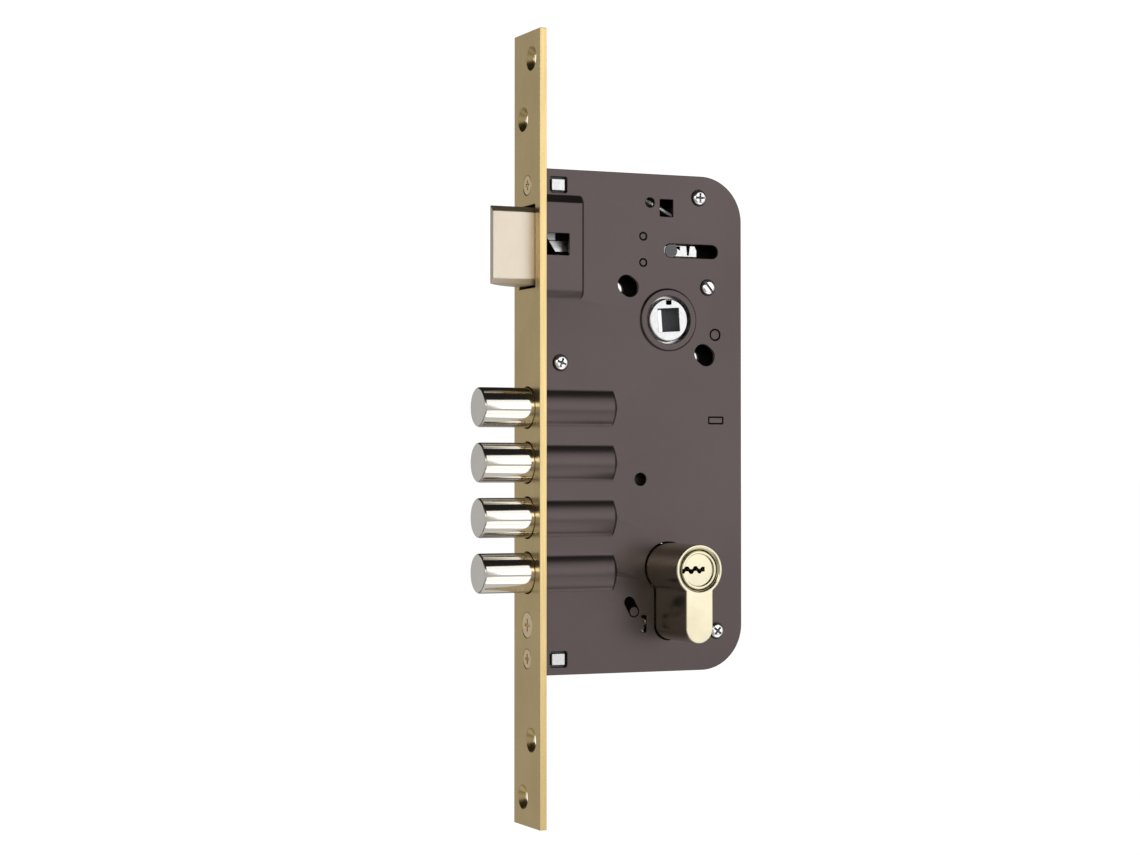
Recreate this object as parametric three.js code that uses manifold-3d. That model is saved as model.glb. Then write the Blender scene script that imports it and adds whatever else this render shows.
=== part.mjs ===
// A mortise lock with a sprung latch, four round deadbolts and a double euro-profile cylinder.
// Millimetres. +X goes into the door, +Z is up and -Y is the side with the removable cover.
// The origin is on the faceplate's front face, on its centreline, at the height of the follower.
import * as THREE from "three";
import { mergeVertices } from "three/addons/utils/BufferGeometryUtils.js";
import Module from "manifold-3d";

const wasm = await Module();
wasm.setup();

// ---------- driving dimensions ----------

const FINE = 28; // sides of a large round
const COARSE = 12; // sides of a small round
const WIRE_SIDES = 6;

const GAP = 0.3; // clearance between pieces that fit together
const SEAT = 0.1; // clearance between flat faces that rest on each other
const BEYOND = 1; // how far a cutter runs past the face it opens

const BACKSET = 50; // faceplate front to the follower and cylinder axes
const CENTRES = 85; // follower axis to cylinder axis
const CYLINDER_Z = -CENTRES;

const CASE_TOP = 50;
const CASE_BELOW_CYLINDER = 35.5;
const CASE_BEHIND_AXES = 28.4;
const CASE_HALF = 6.3; // half the thickness over both sheets
const SHEET = 1.2;
const CASE_CORNER = 15.5;

const FACE_WIDTH = 22;
const FACE_THICK = 2.5;
const FACE_ABOVE_CASE = 46.5;
const FACE_BELOW_CASE = 51;

// Where the case and faceplate end, and the faces that other pieces meet.
const CASE_BOTTOM = CYLINDER_Z - CASE_BELOW_CYLINDER;
const CASE_BACK = BACKSET + CASE_BEHIND_AXES;
const CASE_FRONT = FACE_THICK + GAP;
const FACE_TOP = CASE_TOP + FACE_ABOVE_CASE;
const FACE_BOTTOM = CASE_BOTTOM - FACE_BELOW_CASE;
const INNER = CASE_HALF - SHEET; // half the space between the sheets
const RIM_INNER_BACK = CASE_BACK - SHEET;
const POST_HALF = INNER - GAP;
const PIN_HALF = CASE_HALF - SEAT; // pins and rivets end just below the sheets' faces

const BOLT_COUNT = 4;
const BOLT_R = 6.75;
const BOLT_FIRST_Z = -30.5;
const BOLT_PITCH = 18.56;
const BOLT_THROW = 18;
const BOLT_CHAMFER = 0.8;
const BOLT_BEHIND = 11.4; // round length behind the faceplate's front with the bolts out
const BOLT_HOLE_CLEARANCE = 0.2;
const BOSS_CLEARANCE = 0.6; // bolt to the inside of its pressed boss
const TANG_R = 2.8;
const TANG_HEAD_R = 3.9;
const TANG_HEAD_LENGTH = 1.2;

const LATCH_Z = 23.7;
const LATCH_HEIGHT = 26.2;
const LATCH_HALF = 6.7; // half the head's thickness
const LATCH_OUT = 15.2; // how far the nose stands out of the faceplate
const LATCH_TRAVEL = 15;
const LATCH_NOSE = 2.5;
const LATCH_BEVEL_END = -1.5; // where the bevel meets the far side
const LATCH_BEVEL_BULGE = [-9, 4]; // the point that bends the bevel outwards
const LATCH_CHAMFER = 1.9;
const LATCH_HEAD_BACK = 1.7;
const SHANK_LENGTH = 6.9;
const SHANK_HEIGHT = 19.4;
const SHANK_HALF = INNER - 0.6;
const LATCH_OPENING_GAP = 0.9; // above and below the head
const LATCH_SIDE_GAP = 0.25;

const LATCH_BOSS_ROOM = 0.4; // behind the head when it is drawn in
const LATCH_BOSS_END = LATCH_HEAD_BACK + LATCH_TRAVEL + LATCH_BOSS_ROOM + SHEET;
const LATCH_BOSS_BASE = 17.7; // half height where the boss leaves the sheet
const LATCH_BOSS_TOP = 14.6; // half height of its flat top
const LATCH_BOSS_RISE = 2.3;
const LATCH_WINDOW_END = 11.9;
const LATCH_WINDOW_LOW = 20.8;
const LATCH_WINDOW_HIGH = 28.1;

const TAIL_Z = 24;
const TAIL_HEIGHT = 3.8;
const TAIL_THICK = 2.1;
const TAIL_HEAD_LENGTH = 1.8;
const TAIL_HEAD_HEIGHT = 7.2;
const TAIL_HEAD_WALL = 1.8; // latch left behind the strap's T-head
const TAIL_START = LATCH_HEAD_BACK + TAIL_HEAD_WALL;
const TAIL_SHEET_GAP = 0.4; // strap to the cover
const TAIL_NEAR = -INNER + TAIL_SHEET_GAP; // the strap's side next to the cover
const TAIL_FAR = TAIL_NEAR + TAIL_THICK;
const TAIL_PIN_X = BACKSET + 1.9;
const TAIL_PIN_R = 1.9;
const TAIL_PIN_NECK_R = 1.5;
const TAIL_PIN_HEAD = 0.25; // the pin's head stands this far out of the strap
const TAIL_PIN_HEAD_R = 2.35;
const TAIL_PIN_HEAD_GAP = 0.05; // under the head
const TAIL_END = TAIL_PIN_X + 9.9;
const TAIL_NOTCH_TOP = [2.4, 4]; // the notch's reach along its top, back from the strap's end
const TAIL_NOTCH_FOOT = [3, 3.6];
const TAIL_NOTCH_FLOOR = 0.5;
const TAIL_SLOPE = 1.2; // how far the strap's end slopes in at the top
const TAIL_WINDOW_R = 2.35;
const TAIL_WINDOW_START = TAIL_PIN_X - 0.9;

const GUIDE_X = BACKSET - 9.4;
const GUIDE_LENGTH = 4.2;
const GUIDE_HEIGHT = 14.2;
const GUIDE_RIVET_SPREAD = 9; // between the two rivets
const GUIDE_RIVET_R = 1.05;

const HUB_R = 7.35;
const HUB_HALF = CASE_HALF + 0.6;
const HUB_FLANGE_R = 9.6;
const HUB_FLANGE_HALF = 4.4;
const HUB_HOLE_R = 8.25;
const COLLAR_R = 10.6;
const COLLAR_RISE = 0.8;
const SQUARE = 8;
const SQUARE_TILT = -4; // degrees about +Y, at rest
const NOTCH_WIDTH = 1.8;
const NOTCH_DEPTH = 2;
const ARM_REACH = 24;
const ARM_REST = -7; // degrees about +Y from straight up
const ARM_NOSE_R = 2.3;
const ARM_HALF = 1.6;
const ARM_ROOT_HALF_WIDTH = 4;
const LOBE_REACH = 11.5;
const LOBE_ANGLE = 108; // degrees about +Y from straight up
const LOBE_R = 1.8;

const FIX_RADIUS = 3.25; // handle fixing holes, half their width
const FIX_STRETCH = 1.5; // their length beyond a round hole
const FIX_OFFSETS = [
  [-15.1, 11.3],
  [14.1, -11.8],
];

const PROFILE_R = 8.5; // euro profile
const PROFILE_NECK = 10;
const PROFILE_HEIGHT = 33;
const PROFILE_CLEARANCE = 0.3;
const CYLINDER_HALF = 30;
const PLUG_R = 6.5;
const PLUG_CLEARANCE = 0.25;
const PLUG_RECESS = 0.3;
const PLUG_CHAMFER = 0.3;
const CAM_SLOT_HALF = 5.2;
const CAM_R = 14.8;
const CAM_RING_R = 8;
const CAM_BORE_R = 4.1;
const CAM_WIDTH = 7.5;
const CAM_HALF = 4.15;
const CLIP_R = 7.8;
const CLIP_INNER_R = 5.3;
const CLIP_THICK = 0.6;
const CLIP_OPENING = 5;
const CLIP_SLOT_GAP = 0.1;
const KEYWAY_LEFT = -6;
const KEYWAY_RIGHT = 2;
const KEYWAY_HALF_HEIGHT = 0.9;
const KEYWAY_DEPTH = 21;
const CYLINDER_SCREW_DROP = 18.8; // below the cylinder axis
const CYLINDER_SCREW_R = 2.2;
const CYLINDER_SCREW_HEAD_R = 4.3;
const CYLINDER_SCREW_HEAD_DEPTH = 2.1;
const CYLINDER_SCREW_SHY = 1; // its end inside the cylinder's leg

const FACE_SCREW_R = 1.6;
const FACE_SCREW_HEAD_R = 3.3;
const FACE_SCREW_HEAD_DEPTH = 2;
const FACE_SCREW_LENGTH = 12;
const SCREW_SPAN_SHARE = 0.62; // a sunk screw's cross, against its head's radius
const LUG_INSET = 5.3; // lug's centre from the case's end
const LUG_ZS = [CASE_TOP - LUG_INSET, CASE_BOTTOM + LUG_INSET];
const LUG_LENGTH = 8.6;
const LUG_HALF_HEIGHT = 3.3;
const LUG_HALF = INNER - 0.5;
const LUG_TAB_HALF_HEIGHT = 1.95;
const LUG_TAB_FRONT = 6.5;
const LUG_TAB_LENGTH = 4.8;
const LUG_WINDOW_GAP = 0.8;

const FIXING_HOLE_R = 2.3;
const FIXING_SINK_R = 4.2;
const FIXING_SINK_DEPTH = 1.9;
const FIXING_STAGGER = 3.5;
const FIXING_FROM_END = 9.2;
const FIXING_SPACING = 19.8;
const FIXING_LOWER_FROM_END = 9.5;

const COVER_SCREW_R = 1.3;
const COVER_SCREW_HEAD_R = 2.45;
const COVER_SCREW_HEAD_HEIGHT = 1.2;
const COVER_SCREW_CROWN = 0.45; // the head's edge is lower than its crown
const COVER_SCREW_FLAT = 0.6; // share of the head's radius that is flat
const COVER_SCREW_LENGTH = 7;
const PILLAR_R = 3;
const PILLAR_TENON_R = 1.9;
const CROSS_WIDTH = 0.8;
const CROSS_SPAN = 3;
const CROSS_DEPTH = 0.7;

const PLATE_HALF = 1.25;
const FLANGE_HALF = INNER - 0.5;
const FLANGE_THICK = 2.5;
const FLANGE_OVER = 6; // above the first bolt's axis
const FLANGE_UNDER = 5.8; // below the last bolt's axis
const PLATE_TOP = BOLT_FIRST_Z + 8.5;
const PLATE_FRONT = BOLT_BEHIND + GAP;
const PLATE_BACK_GAP = 0.9; // to the rim with the bolts drawn in
const PLATE_BACK = RIM_INNER_BACK - BOLT_THROW - PLATE_BACK_GAP;
const CAM_SWEEP_GAP = 0.4;
const PLATE_BOTTOM = CYLINDER_Z + CAM_R + CAM_SWEEP_GAP;
const GUIDE_PIN_X = BACKSET - 6;
const GUIDE_PIN_Z = CYLINDER_Z + 43;
const GUIDE_PIN_R = 2;

const STUD_R = 1.5;
const STUD_LIFT = 3.4;
const STUD_SWING = 0.8; // towards the faceplate, as the lever lifts
const STUD_ROOM = 0.4; // round the stud in the bolt plate's window
const STUD_LAND = 1.6; // plate left in front of the window
const STUD_X = PLATE_FRONT + FLANGE_THICK + STUD_LAND + STUD_SWING + STUD_R + STUD_ROOM + BOLT_THROW;
const STUD_Z = CYLINDER_Z + 27.5;
const STUD_INSET = 0.25; // stud's end inside the plate's face

const DETAINER_X = BACKSET + 21;
const DETAINER_Z = CYLINDER_Z + 35;
const DETAINER_NEAR = 1.8;
const DETAINER_FAR = 3.6;
const DETAINER_TIP_X = STUD_X - 1.9;
const DETAINER_BAR_TOP = CYLINDER_Z + 31;
const DETAINER_BAR_BOTTOM = CYLINDER_Z + 25;
const DETAINER_HEEL = [-3, 5]; // reach of the part the cam lifts, from the cylinder's axis
const DETAINER_SHOULDER = [-6, 9];
const DETAINER_HEEL_GAP = 0.3;
const DETAINER_PIN_R = 1.6;
const DETAINER_EYE_R = 4;
const DETAINER_WIRE_R = 0.45;

const WIRE_R = 0.6;
const SPRING_POST_X = BACKSET - 15.4;
const SPRING_POST_Z = CASE_TOP - 7.6;
const SPRING_POST_R = 2.2;
const SPRING_SLOPE = 26; // degrees that the latch spring's leg drops
const SPRING_Y = -1.5; // the long leg's place between the sheets
const SPRING_COIL = 2.4; // the coil's reach towards the cover
const SPRING_ANCHOR = 10; // the short leg's reach towards the front
const SPRING_FOOT = 3; // leg's end below the strap's middle
const SPRING_HOLE_X = BACKSET - 6.8;
const SPRING_HOLE_Z = CASE_TOP - 9.8;
const SPRING_HOLE_R = 1.7;
const SPRING_WINDOW_START = BACKSET - 3;
const SPRING_WINDOW_LENGTH = 5;
const SPRING_WINDOW_TOP = CASE_TOP - 8.5;
const SPRING_WINDOW_HEIGHT = 5.9;
const HANDLE_PIN_X = BACKSET + 18.2;
const HANDLE_PIN_Z = -4.7;
const HANDLE_PIN_R = 1.65;

const HANDLE_COIL_HALF = 1.8;
const HANDLE_LEG_Y = 1.1;
const HANDLE_LEG_RISE = 9;

const BACK_LUG_X = CASE_BACK - 9.95; // rectangular guide lug near the back edge
const BACK_LUG_Z = CYLINDER_Z + 50.65;
const BACK_LUG_HALF_LENGTH = 2.55;
const BACK_LUG_HALF_THICK = 0.95;
const BACK_LUG_ROOM = 1.4; // above and below it in the bolt plate's slot
const BACK_LUG_REACH = 0.9; // in front of it, with the bolts drawn in

const LEVER_HOLE_X = BACKSET - 10.5;
const LEVER_HOLE_Z = CYLINDER_Z + 30.3;
const LEVER_HOLE_R = 2.15;
const STOP_X = BACKSET - 12.9;
const STOP_Z = CYLINDER_Z - 14.8;
const STOP_R = 1.6;
const STOP_SLOT_X = STOP_X - 1.7; // the far end of the slot that shows the stop pin
const STOP_SLOT_Z = STOP_Z + 3.2;
const HOOK_X = BACKSET - 8.2; // hook-shaped slot: its back edge
const HOOK_TOP = CYLINDER_Z - 16.1;
const HOOK_HEIGHT = 5.8;
const HOOK_LENGTH = 1.9;
const HOOK_WIDTH = 0.8;
const HOOK_ARM = 0.7;

// ---------- derived sizes ----------

const BOSS_INNER_R = BOLT_R + BOSS_CLEARANCE;
const BOSS_OUTER_R = BOSS_INNER_R + SHEET;
const BOSS_END = BOLT_BEHIND + BOLT_THROW + GAP + SHEET;
const BOLT_ZS = Array.from({ length: BOLT_COUNT }, (_, i) => BOLT_FIRST_Z - i * BOLT_PITCH);
const CYLINDER_SCREW_Z = CYLINDER_Z - CYLINDER_SCREW_DROP;
const PROFILE_BOTTOM = CYLINDER_Z + PROFILE_R - PROFILE_HEIGHT;

// Where the four cover screws stand, and what drives them.
const COVER_SCREWS = {
  top: { x: CASE_BACK - 16.5, z: CASE_TOP - 7.5, slotted: false, turn: 0 },
  front: { x: CASE_FRONT + 6.8, z: -15.4, slotted: false, turn: 20 },
  bottom: { x: CASE_BACK - 9.9, z: CASE_BOTTOM + 13.4, slotted: false, turn: 40 },
  slotted: { x: BACKSET + 15.3, z: 11.6, slotted: true, turn: 50 },
};

// ---------- finishes ----------

function finish(color, roughness, metalness) {
  return new THREE.MeshStandardMaterial({ color, roughness, metalness });
}
const BRASS = finish(0x958562, 0.38, 0.9);
const BROWN = finish(0x675d5c, 0.45, 0.6);
const NICKEL = finish(0xcfcabd, 0.2, 1);
const SATIN_NICKEL = finish(0xe6dccb, 0.4, 0.8);
const ZINC = finish(0xd8d8d6, 0.4, 0.9);
const STEEL = finish(0x6f7278, 0.45, 0.9);
const CYLINDER_BRASS = finish(0xd9c78e, 0.3, 0.9);

// ---------- solids ----------

// A closed geometry as a solid that can be joined and cut.
function solid(geometry) {
  const bare = geometry.clone();
  bare.deleteAttribute("normal");
  bare.deleteAttribute("uv");
  const merged = mergeVertices(bare, 1e-4);
  const index = merged.index.array;
  const triangles = [];
  for (let i = 0; i < index.length; i += 3) {
    const [a, b, c] = [index[i], index[i + 1], index[i + 2]];
    if (a !== b && b !== c && c !== a) triangles.push(a, b, c);
  }
  return new wasm.Manifold(
    new wasm.Mesh({
      numProp: 3,
      vertProperties: merged.attributes.position.array,
      triVerts: new Uint32Array(triangles),
    }),
  );
}

function join(...bodies) {
  return bodies.reduce((all, body) => all.add(body));
}

function cut(body, ...cutters) {
  return cutters.reduce((left, cutter) => left.subtract(cutter), body);
}

function box(x0, x1, y0, y1, z0, z1) {
  const g = new THREE.BoxGeometry(x1 - x0, y1 - y0, z1 - z0);
  return solid(g.translate((x0 + x1) / 2, (y0 + y1) / 2, (z0 + z1) / 2));
}

// A closed polygon, drawn through points.
function polygon(points) {
  return new THREE.Shape(points.map(([a, b]) => new THREE.Vector2(a, b)));
}

// A shape drawn in X and Z, run along Y from y0 to y1.
function prismY(shape, y0, y1, curveSegments = 8) {
  const g = new THREE.ExtrudeGeometry(shape, { depth: y1 - y0, bevelEnabled: false, curveSegments });
  return solid(g.rotateX(Math.PI / 2).translate(0, y1, 0));
}

// A shape drawn in Y and Z, run along X from x0 to x1.
function prismX(shape, x0, x1, curveSegments = 8) {
  const g = new THREE.ExtrudeGeometry(shape, { depth: x1 - x0, bevelEnabled: false, curveSegments });
  const turn = new THREE.Matrix4().makeBasis(
    new THREE.Vector3(0, 1, 0),
    new THREE.Vector3(0, 0, 1),
    new THREE.Vector3(1, 0, 0),
  );
  return solid(g.applyMatrix4(turn).translate(x0, 0, 0));
}

// A shape drawn in X and Y, run along Z from z0 to z1.
function prismZ(shape, z0, z1, curveSegments = 8) {
  const g = new THREE.ExtrudeGeometry(shape, { depth: z1 - z0, bevelEnabled: false, curveSegments });
  return solid(g.translate(0, 0, z0));
}

// A round bar along Y at (x, z).
function barY(x, z, r, y0, y1, sides = COARSE) {
  const g = new THREE.CylinderGeometry(r, r, y1 - y0, sides);
  return solid(g.translate(x, (y0 + y1) / 2, z));
}

// A solid of revolution about an axis along X: points are [radius, x], on the axis at both ends.
function turnedX(points, y, z, sides = COARSE) {
  const g = new THREE.LatheGeometry(points.map(([r, x]) => new THREE.Vector2(r, x)), sides);
  return solid(g.rotateZ(-Math.PI / 2).translate(0, y, z));
}

// The same about an axis along Y at (x, z): points are [radius, y].
function turnedY(points, x, z, sides = COARSE) {
  const g = new THREE.LatheGeometry(points.map(([r, y]) => new THREE.Vector2(r, y)), sides);
  return solid(g.translate(x, 0, z));
}

// A ring along Y at (x, z), as a closed profile turned about the axis.
function ringY(x, z, inner, outer, y0, y1, sides = COARSE) {
  return cut(barY(x, z, outer, y0, y1, sides), barY(x, z, inner, y0 - BEYOND, y1 + BEYOND, sides));
}

// A straight wire between two points.
function wire(from, to, r = WIRE_R) {
  const a = new THREE.Vector3(...from);
  const b = new THREE.Vector3(...to);
  const g = new THREE.CylinderGeometry(r, r, a.distanceTo(b), WIRE_SIDES);
  const along = new THREE.Vector3().subVectors(b, a).normalize();
  g.applyQuaternion(new THREE.Quaternion().setFromUnitVectors(new THREE.Vector3(0, 1, 0), along));
  return solid(g.translate(...a.add(b).multiplyScalar(0.5).toArray()));
}

// Wires through a list of points, with a ball at each bend.
function bentWire(points, r = WIRE_R) {
  const runs = points.slice(1).map((p, i) => wire(points[i], p, r));
  const bends = points.slice(1, -1).map((p) =>
    solid(new THREE.SphereGeometry(r, WIRE_SIDES, 6).translate(...p)),
  );
  return join(...runs, ...bends);
}

// A body turned by degrees about an axis along Y at (x, z), positive from +Z towards +X.
function turned(body, degrees, x, z) {
  return body.translate([-x, 0, -z]).rotate([0, degrees, 0]).translate([x, 0, z]);
}

function named(name, body, material) {
  const made = body.getMesh();
  const g = new THREE.BufferGeometry();
  g.setAttribute("position", new THREE.BufferAttribute(new Float32Array(made.vertProperties), 3));
  g.setIndex(new THREE.BufferAttribute(new Uint32Array(made.triVerts), 1));
  g.computeVertexNormals();
  const mesh = new THREE.Mesh(g, material);
  mesh.name = name;
  return mesh;
}

// ---------- shared outlines ----------

// The case's outline, square at the front and round at the back corners.
function caseOutline(inset, frontInset) {
  const front = CASE_FRONT + frontInset;
  const back = CASE_BACK - inset;
  const top = CASE_TOP - inset;
  const bottom = CASE_BOTTOM + inset;
  const r = CASE_CORNER - inset;
  const s = new THREE.Shape();
  s.moveTo(front, bottom);
  s.lineTo(back - r, bottom);
  s.absarc(back - r, bottom + r, r, -Math.PI / 2, 0, false);
  s.lineTo(back, top - r);
  s.absarc(back - r, top - r, r, 0, Math.PI / 2, false);
  s.lineTo(front, top);
  s.closePath();
  return s;
}

// The euro profile about the cylinder axis, grown by a clearance.
function euroProfile(y0, y1, grow) {
  const half = PROFILE_NECK / 2 + grow;
  const footZ = PROFILE_BOTTOM + PROFILE_NECK / 2;
  return join(
    barY(BACKSET, CYLINDER_Z, PROFILE_R + grow, y0, y1, FINE),
    box(BACKSET - half, BACKSET + half, y0, y1, footZ, CYLINDER_Z),
    barY(BACKSET, footZ, half, y0, y1, FINE),
  );
}

// A slot with round ends from (x0, z0) to (x1, z1), cut through everything between y0 and y1.
function roundSlot(x0, z0, x1, z1, r, y0, y1) {
  const run = Math.hypot(x1 - x0, z1 - z0);
  const [nx, nz] = [(-(z1 - z0) / run) * r, ((x1 - x0) / run) * r];
  const sides = polygon([
    [x0 - nx, z0 - nz],
    [x1 - nx, z1 - nz],
    [x1 + nx, z1 + nz],
    [x0 + nx, z0 + nz],
  ]);
  return join(prismY(sides, y0, y1), barY(x0, z0, r, y0, y1), barY(x1, z1, r, y0, y1));
}

// The latch boss's section from the middle plane out to one side.
function latchBossSection(side, rise, base, top, sheetFace) {
  return polygon([
    [0, LATCH_Z - base],
    [side * sheetFace, LATCH_Z - base],
    [side * (sheetFace + rise), LATCH_Z - top],
    [side * (sheetFace + rise), LATCH_Z + top],
    [side * sheetFace, LATCH_Z + base],
    [0, LATCH_Z + base],
  ]);
}

// The raised bosses on one side, as full bodies that reach the middle plane.
function bosses(side) {
  const latch = prismX(
    latchBossSection(side, LATCH_BOSS_RISE, LATCH_BOSS_BASE, LATCH_BOSS_TOP, CASE_HALF),
    CASE_FRONT,
    LATCH_BOSS_END,
  );
  const r = BOSS_OUTER_R;
  const bolts = BOLT_ZS.map((z) =>
    turnedX([[0, CASE_FRONT], [r, CASE_FRONT], [r, BOSS_END], [0, BOSS_END]], 0, z, FINE),
  );
  const halfSpace = side < 0 ? [-2 * CASE_HALF, 0] : [0, 2 * CASE_HALF];
  const keep = box(0, CASE_BACK, ...halfSpace, CASE_BOTTOM, CASE_TOP);
  return join(latch, ...bolts.map((b) => b.intersect(keep)));
}

// The space inside the bosses, on both sides, open at the front.
function bossSpaces() {
  const inside = [-1, 1].map((side) =>
    prismX(
      latchBossSection(side, LATCH_BOSS_RISE, LATCH_BOSS_BASE - SHEET, LATCH_BOSS_TOP - SHEET / 2, INNER),
      CASE_FRONT - BEYOND,
      LATCH_BOSS_END - SHEET,
    ),
  );
  const start = CASE_FRONT - BEYOND;
  const end = BOSS_END - SHEET;
  const bolts = BOLT_ZS.map((z) =>
    turnedX([[0, start], [BOSS_INNER_R, start], [BOSS_INNER_R, end], [0, end]], 0, z, FINE),
  );
  return join(...inside, ...bolts);
}

// Openings that go through both the cover and the tray.
function commonOpenings(y0, y1) {
  const fixings = FIX_OFFSETS.map(([dx, dz]) => {
    const r = Math.hypot(dx, dz);
    const [ux, uz] = [(dx / r) * (FIX_STRETCH / 2), (dz / r) * (FIX_STRETCH / 2)];
    const [x, z] = [BACKSET + dx, dz];
    return roundSlot(x - ux, z - uz, x + ux, z + uz, FIX_RADIUS, y0, y1);
  });
  const rivets = [-1, 1].map((s) =>
    barY(GUIDE_X, TAIL_Z + (s * GUIDE_RIVET_SPREAD) / 2, GUIDE_RIVET_R + GAP, y0, y1),
  );
  const tabs = LUG_ZS.map((z) => {
    const high = LUG_TAB_HALF_HEIGHT + LUG_WINDOW_GAP;
    const left = LUG_TAB_FRONT - LUG_WINDOW_GAP;
    const right = LUG_TAB_FRONT + LUG_TAB_LENGTH + LUG_WINDOW_GAP;
    return box(left, right, y0, y1, z - high, z + high);
  });
  const lugHalf = BACK_LUG_HALF_LENGTH + GAP;
  const lugHigh = BACK_LUG_HALF_THICK + GAP;
  return join(
    barY(BACKSET, 0, HUB_HOLE_R, y0, y1, FINE),
    euroProfile(y0, y1, PROFILE_CLEARANCE),
    barY(HANDLE_PIN_X, HANDLE_PIN_Z, HANDLE_PIN_R + GAP, y0, y1),
    box(BACK_LUG_X - lugHalf, BACK_LUG_X + lugHalf, y0, y1, BACK_LUG_Z - lugHigh, BACK_LUG_Z + lugHigh),
    ...fixings,
    ...rivets,
    ...tabs,
  );
}

// ---------- case ----------

function caseCover() {
  const [outer, inner] = [-CASE_HALF, -INNER];
  const y0 = outer - 2 * SHEET - LATCH_BOSS_RISE;
  const sheet = prismY(caseOutline(0, 0), outer, inner, 6);
  const collar = barY(BACKSET, 0, COLLAR_R, outer - COLLAR_RISE, inner, FINE);
  const screwHoles = Object.values(COVER_SCREWS).map(({ x, z }) =>
    barY(x, z, COVER_SCREW_R + GAP, y0, 0),
  );
  const hookLow = HOOK_TOP - HOOK_HEIGHT;
  const hook = cut(
    box(HOOK_X - HOOK_LENGTH, HOOK_X, y0, 0, hookLow, HOOK_TOP),
    box(
      HOOK_X - HOOK_LENGTH - BEYOND,
      HOOK_X - HOOK_WIDTH,
      y0 - BEYOND,
      BEYOND,
      hookLow + HOOK_ARM,
      HOOK_TOP - HOOK_ARM,
    ),
  );
  return cut(
    join(sheet, bosses(-1), collar),
    bossSpaces(),
    box(0, CASE_BACK + BEYOND, inner, CASE_HALF * 2, CASE_BOTTOM - BEYOND, CASE_TOP + BEYOND),
    commonOpenings(y0, 0),
    ...screwHoles,
    box(CASE_FRONT + GAP, LATCH_WINDOW_END, y0, 0, LATCH_WINDOW_LOW, LATCH_WINDOW_HIGH),
    roundSlot(TAIL_WINDOW_START, TAIL_Z, TAIL_PIN_X + LATCH_TRAVEL, TAIL_Z, TAIL_WINDOW_R, y0, 0),
    barY(SPRING_HOLE_X, SPRING_HOLE_Z, SPRING_HOLE_R, y0, 0),
    box(
      SPRING_WINDOW_START,
      SPRING_WINDOW_START + SPRING_WINDOW_LENGTH,
      y0,
      0,
      SPRING_WINDOW_TOP - SPRING_WINDOW_HEIGHT,
      SPRING_WINDOW_TOP,
    ),
    barY(LEVER_HOLE_X, LEVER_HOLE_Z, LEVER_HOLE_R, y0, 0),
    roundSlot(STOP_SLOT_X, STOP_SLOT_Z, STOP_X, STOP_Z, STOP_R + GAP, y0, 0),
    hook,
  );
}

function caseTray() {
  const rimNear = -INNER + GAP;
  const block = prismY(caseOutline(0, 0), rimNear, CASE_HALF, 6);
  const space = prismY(caseOutline(SHEET, SHEET), -2 * CASE_HALF, INNER, 6);
  const collar = barY(BACKSET, 0, COLLAR_R, INNER, CASE_HALF + COLLAR_RISE, FINE);
  const y1 = CASE_HALF + 2 * SHEET + LATCH_BOSS_RISE;
  const tenonHoles = Object.values(COVER_SCREWS).map(({ x, z }) =>
    barY(x, z, PILLAR_TENON_R + GAP, 0, y1),
  );
  const front = CASE_FRONT - BEYOND;
  const wall = CASE_FRONT + SHEET + BEYOND;
  const screwHole = (z, r) => turnedX([[0, front], [r, front], [r, wall], [0, wall]], 0, z);
  return cut(
    join(cut(join(block, bosses(1)), space), collar),
    bossSpaces(),
    commonOpenings(0, y1),
    ...tenonHoles,
    ...LUG_ZS.map((z) => screwHole(z, FACE_SCREW_R + GAP)),
    screwHole(CYLINDER_SCREW_Z, CYLINDER_SCREW_R + GAP),
    barY(SPRING_POST_X, SPRING_POST_Z, PILLAR_TENON_R + GAP, 0, y1),
    barY(GUIDE_PIN_X, GUIDE_PIN_Z, GUIDE_PIN_R + GAP, 0, y1),
    barY(DETAINER_X, DETAINER_Z, DETAINER_PIN_R + GAP, 0, y1),
    barY(STOP_X, STOP_Z, STOP_R + GAP, 0, y1),
  );
}

// A sunk head's hole through the faceplate, on its front face.
function sinkHole(y, z, headR, holeR, depth) {
  const end = FACE_THICK + BEYOND;
  const lip = (-BEYOND * (headR - holeR)) / depth;
  return turnedX([[0, -BEYOND], [headR - lip, -BEYOND], [holeR, depth], [holeR, end], [0, end]], y, z);
}

function faceplate() {
  const half = FACE_WIDTH / 2;
  const stagger = FIXING_STAGGER;
  const fixings = [
    [-stagger, FACE_TOP - FIXING_FROM_END],
    [stagger, FACE_TOP - FIXING_FROM_END - FIXING_SPACING],
    [stagger, FACE_BOTTOM + FIXING_LOWER_FROM_END],
    [-stagger, FACE_BOTTOM + FIXING_LOWER_FROM_END + FIXING_SPACING],
  ];
  const end = FACE_THICK + BEYOND;
  const boltR = BOLT_R + BOLT_HOLE_CLEARANCE;
  const latchHigh = LATCH_HEIGHT / 2 + LATCH_OPENING_GAP;
  const latchWide = LATCH_HALF + LATCH_SIDE_GAP;
  return cut(
    box(0, FACE_THICK, -half, half, FACE_BOTTOM, FACE_TOP),
    ...fixings.map(([y, z]) => sinkHole(y, z, FIXING_SINK_R, FIXING_HOLE_R, FIXING_SINK_DEPTH)),
    ...LUG_ZS.map((z) =>
      sinkHole(0, z, FACE_SCREW_HEAD_R + GAP, FACE_SCREW_R + GAP, FACE_SCREW_HEAD_DEPTH),
    ),
    sinkHole(
      0,
      CYLINDER_SCREW_Z,
      CYLINDER_SCREW_HEAD_R + GAP,
      CYLINDER_SCREW_R + GAP,
      CYLINDER_SCREW_HEAD_DEPTH,
    ),
    ...BOLT_ZS.map((z) =>
      turnedX([[0, -BEYOND], [boltR, -BEYOND], [boltR, end], [0, end]], 0, z, FINE),
    ),
    box(-BEYOND, end, -latchWide, latchWide, LATCH_Z - latchHigh, LATCH_Z + latchHigh),
  );
}

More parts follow.
